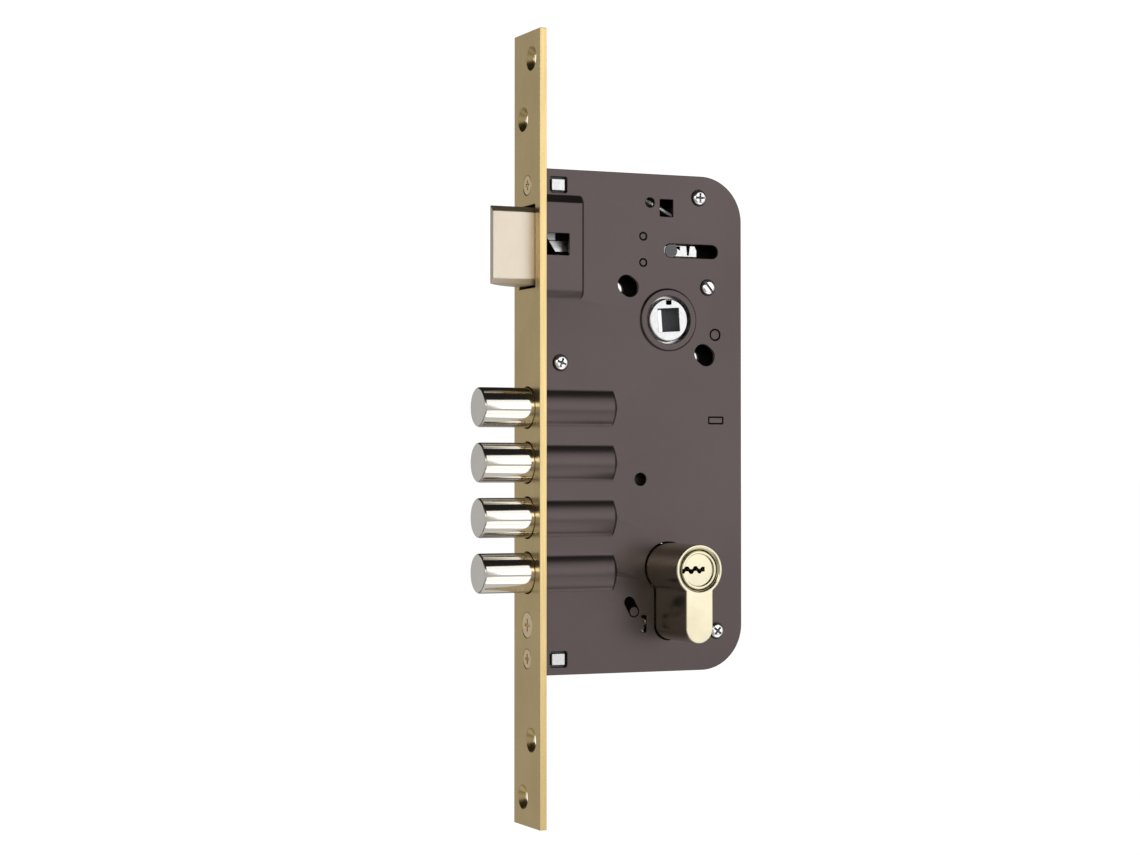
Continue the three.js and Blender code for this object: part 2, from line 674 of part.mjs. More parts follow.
// A countersunk screw along X with a cross recess, its head flush with the faceplate.
function sunkScrew(z, r, headR, headDepth, length) {
  const body = turnedX([[0, SEAT], [headR, SEAT], [r, headDepth], [r, length], [0, length]], 0, z);
  const half = CROSS_WIDTH / 2;
  const span = headR * SCREW_SPAN_SHARE;
  return cut(
    body,
    box(-BEYOND, SEAT + CROSS_DEPTH, -span, span, z - half, z + half),
    box(-BEYOND, SEAT + CROSS_DEPTH, -half, half, z - span, z + span),
  );
}

// A threaded lug behind the faceplate, with a tab that shows in the case's windows.
function screwLug(z) {
  const front = CASE_FRONT + SHEET + GAP;
  const tabBack = LUG_TAB_FRONT + LUG_TAB_LENGTH;
  const block = box(
    front,
    front + LUG_LENGTH,
    -LUG_HALF,
    LUG_HALF,
    z - LUG_HALF_HEIGHT,
    z + LUG_HALF_HEIGHT,
  );
  const tab = box(
    LUG_TAB_FRONT,
    tabBack,
    -PIN_HALF,
    PIN_HALF,
    z - LUG_TAB_HALF_HEIGHT,
    z + LUG_TAB_HALF_HEIGHT,
  );
  const r = FACE_SCREW_R + GAP;
  const [start, end] = [front - BEYOND, front + LUG_LENGTH + BEYOND];
  return cut(join(block, tab), turnedX([[0, start], [r, start], [r, end], [0, end]], 0, z));
}

// A screw that holds the cover, its head outside it.
function coverScrew({ x, z, slotted, turn }) {
  const seat = -CASE_HALF - SEAT;
  const top = seat - COVER_SCREW_HEAD_HEIGHT;
  const end = seat + COVER_SCREW_LENGTH;
  const body = turnedY(
    [
      [0, top],
      [COVER_SCREW_HEAD_R * COVER_SCREW_FLAT, top],
      [COVER_SCREW_HEAD_R, top + COVER_SCREW_CROWN],
      [COVER_SCREW_HEAD_R, seat],
      [COVER_SCREW_R, seat],
      [COVER_SCREW_R, end],
      [0, end],
    ],
    x,
    z,
  );
  const half = CROSS_WIDTH / 2;
  const span = slotted ? COVER_SCREW_HEAD_R + BEYOND : CROSS_SPAN / 2;
  const bottom = top + CROSS_DEPTH;
  const slots = [box(x - span, x + span, top - BEYOND, bottom, z - half, z + half)];
  if (!slotted) slots.push(box(x - half, x + half, top - BEYOND, bottom, z - span, z + span));
  return cut(body, ...slots.map((s) => turned(s, turn, x, z)));
}

// A threaded post riveted into the tray, under a cover screw.
function pillar({ x, z }) {
  return cut(
    join(
      barY(x, z, PILLAR_R, -POST_HALF, POST_HALF),
      barY(x, z, PILLAR_TENON_R, 0, PIN_HALF),
    ),
    barY(x, z, COVER_SCREW_R + GAP, -POST_HALF - BEYOND, -CASE_HALF + COVER_SCREW_LENGTH + BEYOND),
  );
}

// ---------- latch ----------

// The strap's outline in X and Z, grown by a clearance; its T-head hooks into the latch.
function strapBody(grow) {
  const half = TAIL_HEIGHT / 2 + grow;
  const headHalf = TAIL_HEAD_HEIGHT / 2 + grow;
  const headEnd = TAIL_START + TAIL_HEAD_LENGTH + grow;
  return join(
    box(TAIL_START - grow, headEnd, TAIL_NEAR - grow, TAIL_FAR + grow, TAIL_Z - headHalf, TAIL_Z + headHalf),
    box(TAIL_START - grow, TAIL_END, TAIL_NEAR - grow, TAIL_FAR + grow, TAIL_Z - half, TAIL_Z + half),
  );
}

function latchHead() {
  const plan = new THREE.Shape();
  plan.moveTo(LATCH_HEAD_BACK, -LATCH_HALF);
  plan.lineTo(LATCH_HEAD_BACK, LATCH_HALF);
  plan.lineTo(LATCH_BEVEL_END, LATCH_HALF);
  plan.quadraticCurveTo(...LATCH_BEVEL_BULGE, -LATCH_OUT, -LATCH_HALF + LATCH_NOSE);
  plan.lineTo(-LATCH_OUT, -LATCH_HALF);
  plan.closePath();
  const [low, high] = [LATCH_Z - LATCH_HEIGHT / 2, LATCH_Z + LATCH_HEIGHT / 2];
  const c = LATCH_CHAMFER;
  const section = polygon([
    [-LATCH_HALF, low + c],
    [-LATCH_HALF + c, low],
    [LATCH_HALF, low],
    [LATCH_HALF, high],
    [-LATCH_HALF + c, high],
    [-LATCH_HALF, high - c],
  ]);
  const head = prismZ(plan, low, high, 10).intersect(
    prismX(section, -LATCH_OUT - BEYOND, LATCH_HEAD_BACK + BEYOND),
  );
  const shank = box(
    LATCH_HEAD_BACK - BEYOND,
    LATCH_HEAD_BACK + SHANK_LENGTH,
    -SHANK_HALF,
    SHANK_HALF,
    LATCH_Z - SHANK_HEIGHT / 2,
    LATCH_Z + SHANK_HEIGHT / 2,
  );
  const headEnd = TAIL_START + TAIL_HEAD_LENGTH + GAP;
  const headHalf = TAIL_HEAD_HEIGHT / 2 + GAP;
  return cut(
    join(head, shank),
    strapBody(GAP),
    box(TAIL_START - GAP, headEnd, -CASE_HALF, TAIL_FAR, TAIL_Z - headHalf, TAIL_Z + headHalf),
  );
}

function latchTail() {
  const top = TAIL_Z + TAIL_HEIGHT / 2;
  const bottom = TAIL_Z - TAIL_HEIGHT / 2;
  const floor = bottom + TAIL_NOTCH_FLOOR;
  const notch = polygon([
    [TAIL_END - TAIL_NOTCH_TOP[0], top + BEYOND],
    [TAIL_END - TAIL_NOTCH_FOOT[0], floor],
    [TAIL_END - TAIL_NOTCH_FOOT[1], floor],
    [TAIL_END - TAIL_NOTCH_TOP[1], top + BEYOND],
  ]);
  const slope = polygon([
    [TAIL_END - TAIL_SLOPE, top + BEYOND],
    [TAIL_END + BEYOND, bottom],
    [TAIL_END + BEYOND, top + BEYOND],
  ]);
  return cut(
    strapBody(0),
    prismY(notch, -CASE_HALF, 0),
    prismY(slope, -CASE_HALF, 0),
    barY(TAIL_PIN_X, TAIL_Z, TAIL_PIN_NECK_R + GAP, -CASE_HALF, 0),
  );
}

// The pin in the strap that the follower's arm pushes, thinner where the strap holds it.
function tailPin() {
  const end = TAIL_NEAR - TAIL_PIN_HEAD;
  const under = TAIL_NEAR - TAIL_PIN_HEAD_GAP;
  return turnedY(
    [
      [0, end],
      [TAIL_PIN_HEAD_R, end],
      [TAIL_PIN_HEAD_R, under],
      [TAIL_PIN_NECK_R, under],
      [TAIL_PIN_NECK_R, TAIL_FAR + SEAT],
      [TAIL_PIN_R, TAIL_FAR + SEAT],
      [TAIL_PIN_R, ARM_HALF + GAP],
      [0, ARM_HALF + GAP],
    ],
    TAIL_PIN_X,
    TAIL_Z,
  );
}

function latchGuide() {
  const half = TAIL_HEIGHT / 2 + GAP;
  const [x0, x1] = [GUIDE_X - GUIDE_LENGTH / 2, GUIDE_X + GUIDE_LENGTH / 2];
  return cut(
    box(x0, x1, -POST_HALF, POST_HALF, TAIL_Z - GUIDE_HEIGHT / 2, TAIL_Z + GUIDE_HEIGHT / 2),
    box(x0 - BEYOND, x1 + BEYOND, -CASE_HALF, TAIL_FAR + GAP, TAIL_Z - half, TAIL_Z + half),
    ...[-1, 1].map((s) =>
      barY(GUIDE_X, TAIL_Z + (s * GUIDE_RIVET_SPREAD) / 2, GUIDE_RIVET_R + GAP, -CASE_HALF, CASE_HALF),
    ),
  );
}

// A torsion spring: a coil round its post, one leg behind the tail's pin and one under the rim.
function latchSpring() {
  const inner = SPRING_POST_R + GAP;
  const outer = inner + 2 * WIRE_R;
  const y = SPRING_Y;
  const shortY = y + WIRE_R - SPRING_COIL;
  const mean = inner + WIRE_R;
  const legX = TAIL_PIN_X + TAIL_PIN_R + GAP + WIRE_R;
  const slope = (SPRING_SLOPE * Math.PI) / 180;
  const from = [SPRING_POST_X + mean * Math.sin(slope), y, SPRING_POST_Z + mean * Math.cos(slope)];
  const bendZ = from[2] - (legX - from[0]) * Math.tan(slope);
  return join(
    ringY(SPRING_POST_X, SPRING_POST_Z, inner, outer, y - SPRING_COIL, y + WIRE_R),
    bentWire([from, [legX, y, bendZ], [legX, y, TAIL_Z - SPRING_FOOT]]),
    bentWire([
      [SPRING_POST_X - mean, shortY, SPRING_POST_Z],
      [SPRING_POST_X - mean - SPRING_ANCHOR, shortY, CASE_TOP - SHEET - GAP - WIRE_R],
    ]),
  );
}

// ---------- follower ----------

function followerHub() {
  const arm = polygon([
    [BACKSET - ARM_ROOT_HALF_WIDTH, HUB_R],
    [BACKSET - ARM_NOSE_R, ARM_REACH],
    [BACKSET + ARM_NOSE_R, ARM_REACH],
    [BACKSET + ARM_ROOT_HALF_WIDTH, HUB_R],
  ]);
  const lobe = box(BACKSET - LOBE_R, BACKSET + LOBE_R, -ARM_HALF, ARM_HALF, HUB_R, LOBE_REACH);
  const body = join(
    barY(BACKSET, 0, HUB_R, -HUB_HALF, HUB_HALF, FINE),
    barY(BACKSET, 0, HUB_FLANGE_R, -HUB_FLANGE_HALF, HUB_FLANGE_HALF, FINE),
    turned(
      join(prismY(arm, -ARM_HALF, ARM_HALF), barY(BACKSET, ARM_REACH, ARM_NOSE_R, -ARM_HALF, ARM_HALF)),
      ARM_REST,
      BACKSET,
      0,
    ),
    turned(
      join(lobe, barY(BACKSET, LOBE_REACH, LOBE_R, -ARM_HALF, ARM_HALF)),
      LOBE_ANGLE,
      BACKSET,
      0,
    ),
  );
  const half = SQUARE / 2;
  const through = HUB_HALF + BEYOND;
  const square = box(BACKSET - half, BACKSET + half, -through, through, -half, half);
  const n = NOTCH_WIDTH / 2;
  const notch = box(
    BACKSET - n,
    BACKSET + n,
    -through,
    -HUB_FLANGE_HALF - GAP,
    HUB_R - NOTCH_DEPTH,
    HUB_R + BEYOND,
  );
  return cut(body, turned(square, SQUARE_TILT, BACKSET, 0), notch);
}

// A torsion spring round the handle pin, with a leg under the follower's lobe.
function handleSpring() {
  const inner = HANDLE_PIN_R + GAP;
  const outer = inner + 2 * WIRE_R;
  const lobeTurn = (LOBE_ANGLE * Math.PI) / 180;
  const lobeX = BACKSET + LOBE_REACH * Math.sin(lobeTurn);
  const lobeZ = LOBE_REACH * Math.cos(lobeTurn);
  const bottomZ = HANDLE_PIN_Z - inner - WIRE_R;
  return join(
    ringY(HANDLE_PIN_X, HANDLE_PIN_Z, inner, outer, -HANDLE_COIL_HALF, HANDLE_COIL_HALF),
    bentWire([
      [HANDLE_PIN_X, 0, bottomZ],
      [lobeX - 1, 0, Math.min(bottomZ, lobeZ - LOBE_R - GAP - WIRE_R)],
    ]),
    bentWire([
      [HANDLE_PIN_X + inner + WIRE_R, HANDLE_LEG_Y, HANDLE_PIN_Z],
      [RIM_INNER_BACK - GAP - WIRE_R, HANDLE_LEG_Y, HANDLE_PIN_Z + HANDLE_LEG_RISE],
    ]),
  );
}

// ---------- bolts ----------

// One bolt, drawn on its own axis: a round bar with a riveted tang for the bolt plate.
function bolt() {
  const tip = -BOLT_THROW;
  const headStart = PLATE_FRONT + FLANGE_THICK + GAP;
  const headEnd = headStart + TANG_HEAD_LENGTH;
  return turnedX(
    [
      [0, tip],
      [BOLT_R - BOLT_CHAMFER, tip],
      [BOLT_R, tip + BOLT_CHAMFER],
      [BOLT_R, BOLT_BEHIND],
      [TANG_R, BOLT_BEHIND],
      [TANG_R, headStart],
      [TANG_HEAD_R, headStart],
      [TANG_HEAD_R, headEnd],
      [0, headEnd],
    ],
    0,
    0,
    FINE,
  );
}

function boltPlate() {
  const flangeBack = PLATE_FRONT + FLANGE_THICK;
  const lowest = BOLT_ZS[BOLT_COUNT - 1];
  const [flangeLow, flangeHigh] = [lowest - FLANGE_UNDER, BOLT_FIRST_Z + FLANGE_OVER];
  const flange = box(PLATE_FRONT, flangeBack, -FLANGE_HALF, FLANGE_HALF, flangeLow, flangeHigh);
  const web = box(flangeBack - SEAT, PLATE_BACK, -PLATE_HALF, PLATE_HALF, PLATE_BOTTOM, PLATE_TOP);
  const reliefEnd = flangeBack + GAP + TANG_HEAD_LENGTH + GAP;
  const reliefHalf = TANG_HEAD_R + GAP;
  const tangR = TANG_R + GAP;
  const tangHoles = BOLT_ZS.map((z) =>
    turnedX(
      [[0, PLATE_FRONT - BEYOND], [tangR, PLATE_FRONT - BEYOND], [tangR, flangeBack], [0, flangeBack]],
      0,
      z,
    ),
  );
  const reliefs = BOLT_ZS.map((z) =>
    box(flangeBack, reliefEnd, -FLANGE_HALF, FLANGE_HALF, z - reliefHalf, z + reliefHalf),
  );
  const pinHalf = GUIDE_PIN_R + GAP;
  const studHalf = STUD_R + STUD_ROOM;
  const lugSlotHalf = BACK_LUG_HALF_THICK + BACK_LUG_ROOM;
  const lugSlotStart = BACK_LUG_X - BACK_LUG_HALF_LENGTH - BOLT_THROW - BACK_LUG_REACH;
  const y = PLATE_HALF + BEYOND;
  return cut(
    join(flange, web),
    ...tangHoles,
    ...reliefs,
    roundSlot(GUIDE_PIN_X - BOLT_THROW, GUIDE_PIN_Z, GUIDE_PIN_X, GUIDE_PIN_Z, pinHalf, -y, y),
    box(
      STUD_X - BOLT_THROW - studHalf - STUD_SWING,
      STUD_X + studHalf,
      -y,
      y,
      STUD_Z - studHalf,
      STUD_Z + STUD_LIFT + studHalf,
    ),
    box(
      lugSlotStart,
      PLATE_BACK + BEYOND,
      -y,
      y,
      BACK_LUG_Z - lugSlotHalf,
      BACK_LUG_Z + lugSlotHalf,
    ),
  );
}

// ---------- detainer ----------

function detainer() {
  const heel = PLATE_BOTTOM + DETAINER_HEEL_GAP;
  const outline = polygon([
    [DETAINER_TIP_X, DETAINER_BAR_BOTTOM],
    [BACKSET + DETAINER_SHOULDER[0], DETAINER_BAR_BOTTOM],
    [BACKSET + DETAINER_HEEL[0], heel],
    [BACKSET + DETAINER_HEEL[1], heel],
    [BACKSET + DETAINER_SHOULDER[1], DETAINER_BAR_BOTTOM],
    [DETAINER_X + 2, DETAINER_Z - 3],
    [DETAINER_X - 1, DETAINER_Z + 3.5],
    [DETAINER_X - 7, DETAINER_BAR_TOP],
    [DETAINER_TIP_X, DETAINER_BAR_TOP],
  ]);
  const eye = barY(DETAINER_X, DETAINER_Z, DETAINER_EYE_R, DETAINER_NEAR, DETAINER_FAR);
  return cut(
    join(
      prismY(outline, DETAINER_NEAR, DETAINER_FAR),
      eye,
      barY(STUD_X, STUD_Z, STUD_R, -PLATE_HALF + STUD_INSET, DETAINER_FAR),
    ),
    barY(DETAINER_X, DETAINER_Z, DETAINER_PIN_R + GAP, 0, CASE_HALF),
  );
}

function detainerSpring() {
  const inner = DETAINER_PIN_R + GAP;
  const r = DETAINER_WIRE_R;
  const y = DETAINER_FAR + GAP + r;
  const mean = inner + r;
  const restX = BACKSET + DETAINER_SHOULDER[1] - 1;
  const restZ = DETAINER_BAR_TOP + GAP + r;
  return join(
    ringY(DETAINER_X, DETAINER_Z, inner, inner + 2 * r, y - r, y + r),
    bentWire(
      [
        [DETAINER_X, y, DETAINER_Z + mean],
        [restX, y, restZ],
        [restX, DETAINER_NEAR + GAP, restZ],
      ],
      r,
    ),
    bentWire(
      [
        [DETAINER_X + mean, y, DETAINER_Z],
        [RIM_INNER_BACK - GAP - r, y, DETAINER_Z + HANDLE_LEG_RISE],
      ],
      r,
    ),
  );
}

// ---------- cylinder ----------

function cylinderBody() {
  const floor = CYLINDER_Z - CAM_R - GAP;
  const wide = PROFILE_R + BEYOND;
  const bore = PLUG_R + PLUG_CLEARANCE;
  const screwR = CYLINDER_SCREW_R + GAP;
  const [start, end] = [BACKSET - wide, BACKSET + wide];
  return cut(
    euroProfile(-CYLINDER_HALF, CYLINDER_HALF, 0),
    barY(BACKSET, CYLINDER_Z, bore, -CYLINDER_HALF - BEYOND, CYLINDER_HALF + BEYOND, FINE),
    box(start, end, -CAM_SLOT_HALF, CAM_SLOT_HALF, floor, CYLINDER_Z + wide),
    turnedX([[0, start], [screwR, start], [screwR, end], [0, end]], 0, CYLINDER_SCREW_Z),
  );
}

// A plug on one side of the cam: its waist holds a clip and its nose turns in the cam.
function plug(side) {
  const faceY = CYLINDER_HALF - PLUG_RECESS;
  const waistY = CAM_SLOT_HALF + SEAT;
  const waistEnd = CAM_HALF + SEAT;
  const profile = [
    [0, faceY],
    [PLUG_R - PLUG_CHAMFER, faceY],
    [PLUG_R, faceY - PLUG_CHAMFER],
    [PLUG_R, waistY],
    [CLIP_INNER_R - GAP, waistY],
    [CLIP_INNER_R - GAP, waistEnd],
    [CAM_BORE_R - GAP, waistEnd],
    [CAM_BORE_R - GAP, GAP / 2],
    [0, GAP / 2],
  ].map(([r, y]) => [r, side * y]);
  if (side > 0) profile.reverse();
  const body = turnedY(profile, BACKSET, CYLINDER_Z, FINE);
  const ys = [side * (faceY - KEYWAY_DEPTH), side * (faceY + BEYOND)].sort((a, b) => a - b);
  return cut(
    body,
    box(
      BACKSET + KEYWAY_LEFT,
      BACKSET + KEYWAY_RIGHT,
      ...ys,
      CYLINDER_Z - KEYWAY_HALF_HEIGHT,
      CYLINDER_Z + KEYWAY_HALF_HEIGHT,
    ),
  );
}

// The C-shaped clip that keeps a plug in the body.
function plugClip(side) {
  const near = CAM_SLOT_HALF - CLIP_SLOT_GAP - CLIP_THICK;
  const ys = [side * near, side * (near + CLIP_THICK)].sort((a, b) => a - b);
  const half = CLIP_OPENING / 2;
  return cut(
    ringY(BACKSET, CYLINDER_Z, CLIP_INNER_R, CLIP_R, ...ys, COARSE + 8),
    box(BACKSET - half, BACKSET + half, -CASE_HALF, CASE_HALF, CYLINDER_Z, CYLINDER_Z + CLIP_R + BEYOND),
  );
}

function cylinderCam() {
  const half = CAM_WIDTH / 2;
  const tooth = box(
    BACKSET - half,
    BACKSET + half,
    -CAM_HALF,
    CAM_HALF,
    CYLINDER_Z - CAM_R,
    CYLINDER_Z - CAM_BORE_R - BEYOND,
  ).intersect(barY(BACKSET, CYLINDER_Z, CAM_R, -CAM_HALF, CAM_HALF, FINE));
  return cut(
    join(barY(BACKSET, CYLINDER_Z, CAM_RING_R, -CAM_HALF, CAM_HALF, FINE), tooth),
    barY(BACKSET, CYLINDER_Z, CAM_BORE_R, -CASE_HALF, CASE_HALF, FINE),
  );
}

// ---------- assembly ----------

const lock = new THREE.Group();

const shell = new THREE.Group();
shell.add(
  named("faceplate", faceplate(), BRASS),
  named("case_cover", caseCover(), BROWN),
  named("case_tray", caseTray(), BROWN),
);
["upper", "lower"].forEach((end, i) => {
  const z = LUG_ZS[i];
  shell.add(
    named("screw_lug_" + end, screwLug(z), ZINC),
    named(
      "faceplate_screw_" + end,
      sunkScrew(z, FACE_SCREW_R, FACE_SCREW_HEAD_R, FACE_SCREW_HEAD_DEPTH, FACE_SCREW_LENGTH),
      BRASS,
    ),
  );
});
for (const [place, screw] of Object.entries(COVER_SCREWS)) {
  shell.add(
    named("cover_screw_" + place, coverScrew(screw), ZINC),
    named("pillar_" + place, pillar(screw), STEEL),
  );
}

const fixedParts = new THREE.Group();
fixedParts.add(
  named("latch_guide", latchGuide(), STEEL),
  named("spring_pin", barY(HANDLE_PIN_X, HANDLE_PIN_Z, HANDLE_PIN_R, -PIN_HALF, PIN_HALF), BROWN),
  named("stop_pin", barY(STOP_X, STOP_Z, STOP_R, -PIN_HALF, PIN_HALF), BROWN),
  named("bolt_guide_pin", barY(GUIDE_PIN_X, GUIDE_PIN_Z, GUIDE_PIN_R, -POST_HALF, PIN_HALF), STEEL),
  named(
    "spring_post",
    join(
      barY(SPRING_POST_X, SPRING_POST_Z, SPRING_POST_R, -POST_HALF, POST_HALF),
      barY(SPRING_POST_X, SPRING_POST_Z, PILLAR_TENON_R, 0, PIN_HALF),
    ),
    STEEL,
  ),
  named("detainer_pin", barY(DETAINER_X, DETAINER_Z, DETAINER_PIN_R, DETAINER_NEAR, PIN_HALF), STEEL),
  named(
    "guide_lug",
    box(
      BACK_LUG_X - BACK_LUG_HALF_LENGTH,
      BACK_LUG_X + BACK_LUG_HALF_LENGTH,
      -PIN_HALF,
      PIN_HALF,
      BACK_LUG_Z - BACK_LUG_HALF_THICK,
      BACK_LUG_Z + BACK_LUG_HALF_THICK,
    ),
    BROWN,
  ),
);
["upper", "lower"].forEach((end, i) => {
  const z = TAIL_Z + (0.5 - i) * GUIDE_RIVET_SPREAD;
  fixedParts.add(
    named("guide_rivet_" + end, barY(GUIDE_X, z, GUIDE_RIVET_R, -PIN_HALF, PIN_HALF), BROWN),
  );
});

const latch = new THREE.Group();
latch.add(
  named("latch_head", latchHead(), SATIN_NICKEL),
  named("latch_tail", latchTail(), ZINC),
  named("tail_pin", tailPin(), STEEL),
);

const springs = new THREE.Group();
springs.add(
  named("latch_spring", latchSpring(), ZINC),
  named("handle_spring", handleSpring(), ZINC),
  named("detainer_spring", detainerSpring(), ZINC),
);

const bolts = new THREE.Group();
bolts.add(named("bolt_plate", boltPlate(), STEEL));
BOLT_ZS.forEach((z, i) => {
  const mesh = named("bolt_" + (i + 1), bolt(), NICKEL);
  mesh.position.z = z;
  bolts.add(mesh);
});

const cylinder = new THREE.Group();
cylinder.add(
  named("cylinder_body", cylinderBody(), CYLINDER_BRASS),
  named("plug_outer", plug(-1), CYLINDER_BRASS),
  named("plug_inner", plug(1), CYLINDER_BRASS),
  named("plug_clip_outer", plugClip(-1), STEEL),
  named("plug_clip_inner", plugClip(1), STEEL),
  named("cylinder_cam", cylinderCam(), STEEL),
  named(
    "cylinder_screw",
    sunkScrew(
      CYLINDER_SCREW_Z,
      CYLINDER_SCREW_R,
      CYLINDER_SCREW_HEAD_R,
      CYLINDER_SCREW_HEAD_DEPTH,
      BACKSET + PROFILE_NECK / 2 - CYLINDER_SCREW_SHY,
    ),
    BRASS,
  ),
);

lock.add(
  shell,
  fixedParts,
  latch,
  springs,
  named("follower_hub", followerHub(), ZINC),
  bolts,
  named("detainer", detainer(), STEEL),
  cylinder,
);

export default lock;
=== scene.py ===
"""Looks for a mortise lock with a sprung latch, four round deadbolts and a euro-profile cylinder.

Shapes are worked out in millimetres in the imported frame: +X goes into the door, +Z is up and -Y is
the side with the removable cover. A piece is scaled to metres when it is finished.
"""

import logging
import math
from dataclasses import dataclass
from enum import Enum

import bmesh
import bpy
from mathutils import Matrix, Vector

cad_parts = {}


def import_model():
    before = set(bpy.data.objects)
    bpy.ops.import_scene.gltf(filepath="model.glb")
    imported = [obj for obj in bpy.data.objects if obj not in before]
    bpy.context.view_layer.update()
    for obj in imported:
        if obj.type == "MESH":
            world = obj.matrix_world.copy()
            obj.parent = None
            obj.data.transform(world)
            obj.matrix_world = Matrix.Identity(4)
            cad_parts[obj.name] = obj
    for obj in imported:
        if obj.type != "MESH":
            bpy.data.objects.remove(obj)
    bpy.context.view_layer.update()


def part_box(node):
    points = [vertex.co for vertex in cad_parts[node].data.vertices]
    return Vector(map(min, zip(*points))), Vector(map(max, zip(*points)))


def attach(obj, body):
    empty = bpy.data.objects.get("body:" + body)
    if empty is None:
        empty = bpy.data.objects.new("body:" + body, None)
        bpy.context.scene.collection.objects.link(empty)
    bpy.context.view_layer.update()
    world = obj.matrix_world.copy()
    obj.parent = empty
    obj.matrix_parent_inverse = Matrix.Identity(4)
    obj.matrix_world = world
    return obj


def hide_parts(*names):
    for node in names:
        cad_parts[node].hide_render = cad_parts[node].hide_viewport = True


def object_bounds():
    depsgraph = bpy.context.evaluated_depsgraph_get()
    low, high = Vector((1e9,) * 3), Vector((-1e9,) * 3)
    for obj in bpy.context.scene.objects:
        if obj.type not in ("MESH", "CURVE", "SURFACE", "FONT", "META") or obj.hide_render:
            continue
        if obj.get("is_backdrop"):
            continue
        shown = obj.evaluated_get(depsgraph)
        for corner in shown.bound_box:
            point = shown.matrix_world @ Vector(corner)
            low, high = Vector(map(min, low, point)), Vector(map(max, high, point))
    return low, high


log = logging.getLogger("mortise_lock")

MM = 0.001
BEYOND = 1.0  # how far a cutter runs past the face it opens
TENON_R = 1.9  # the reduced end of a pillar or post, in the tray
FINE = 96
MEDIUM = 48

Point = tuple[float, float]


# ---------- shaping ----------


class Axis(Enum):
    """A direction that a body runs along."""

    X = "X"
    Y = "Y"
    Z = "Z"

    def place(self, a: float, b: float, along: float) -> Vector:
        """Puts a point of a flat drawing in space.

        Args:
            a: first coordinate in the drawing (Y for X, X for Y, X for Z).
            b: second coordinate in the drawing (Z for X, Z for Y, Y for Z).
            along: distance along this axis.

        Returns:
            The point in the frame.
        """
        if self is Axis.X:
            return Vector((along, a, b))
        if self is Axis.Y:
            return Vector((a, along, b))
        return Vector((a, b, along))

    @property
    def unit(self) -> Vector:
        """This axis as a vector of length one."""
        return self.place(0, 0, 1)


class Outline:
    """A closed flat outline with straight runs and arcs."""

    def __init__(self) -> None:
        """Starts with no points."""
        self.points: list[Point] = []

    def to(self, a: float, b: float) -> "Outline":
        """Adds a corner."""
        self.points.append((a, b))
        return self

    def arc(self, a: float, b: float, r: float, start: float, end: float, steps: int = 12) -> "Outline":
        """Adds an arc.

        Args:
            a: centre, first coordinate.
            b: centre, second coordinate.
            r: radius.
            start: angle of the arc's start, in degrees.
            end: angle of its end, in degrees.
            steps: straight pieces it is made of.

        Returns:
            The outline itself.
        """
        for i in range(steps + 1):
            turn = math.radians(start + (end - start) * i / steps)
            self.points.append((a + r * math.cos(turn), b + r * math.sin(turn)))
        return self

    @classmethod
    def rounded(cls, a0: float, a1: float, b0: float, b1: float, r: float, steps: int = 6) -> "Outline":
        """A rectangle with round corners of radius r."""
        made = cls()
        made.arc(a1 - r, b0 + r, r, -90, 0, steps)
        made.arc(a1 - r, b1 - r, r, 0, 90, steps)
        made.arc(a0 + r, b1 - r, r, 90, 180, steps)
        made.arc(a0 + r, b0 + r, r, 180, 270, steps)
        return made

    @classmethod
    def slot(cls, a0: float, b0: float, a1: float, b1: float, r: float, steps: int = 20) -> "Outline":
        """A slot with round ends of radius r, from one centre to the other."""
        heading = math.degrees(math.atan2(b1 - b0, a1 - a0))
        made = cls()
        made.arc(a1, b1, r, heading - 90, heading + 90, steps)
        made.arc(a0, b0, r, heading + 90, heading + 270, steps)
        return made


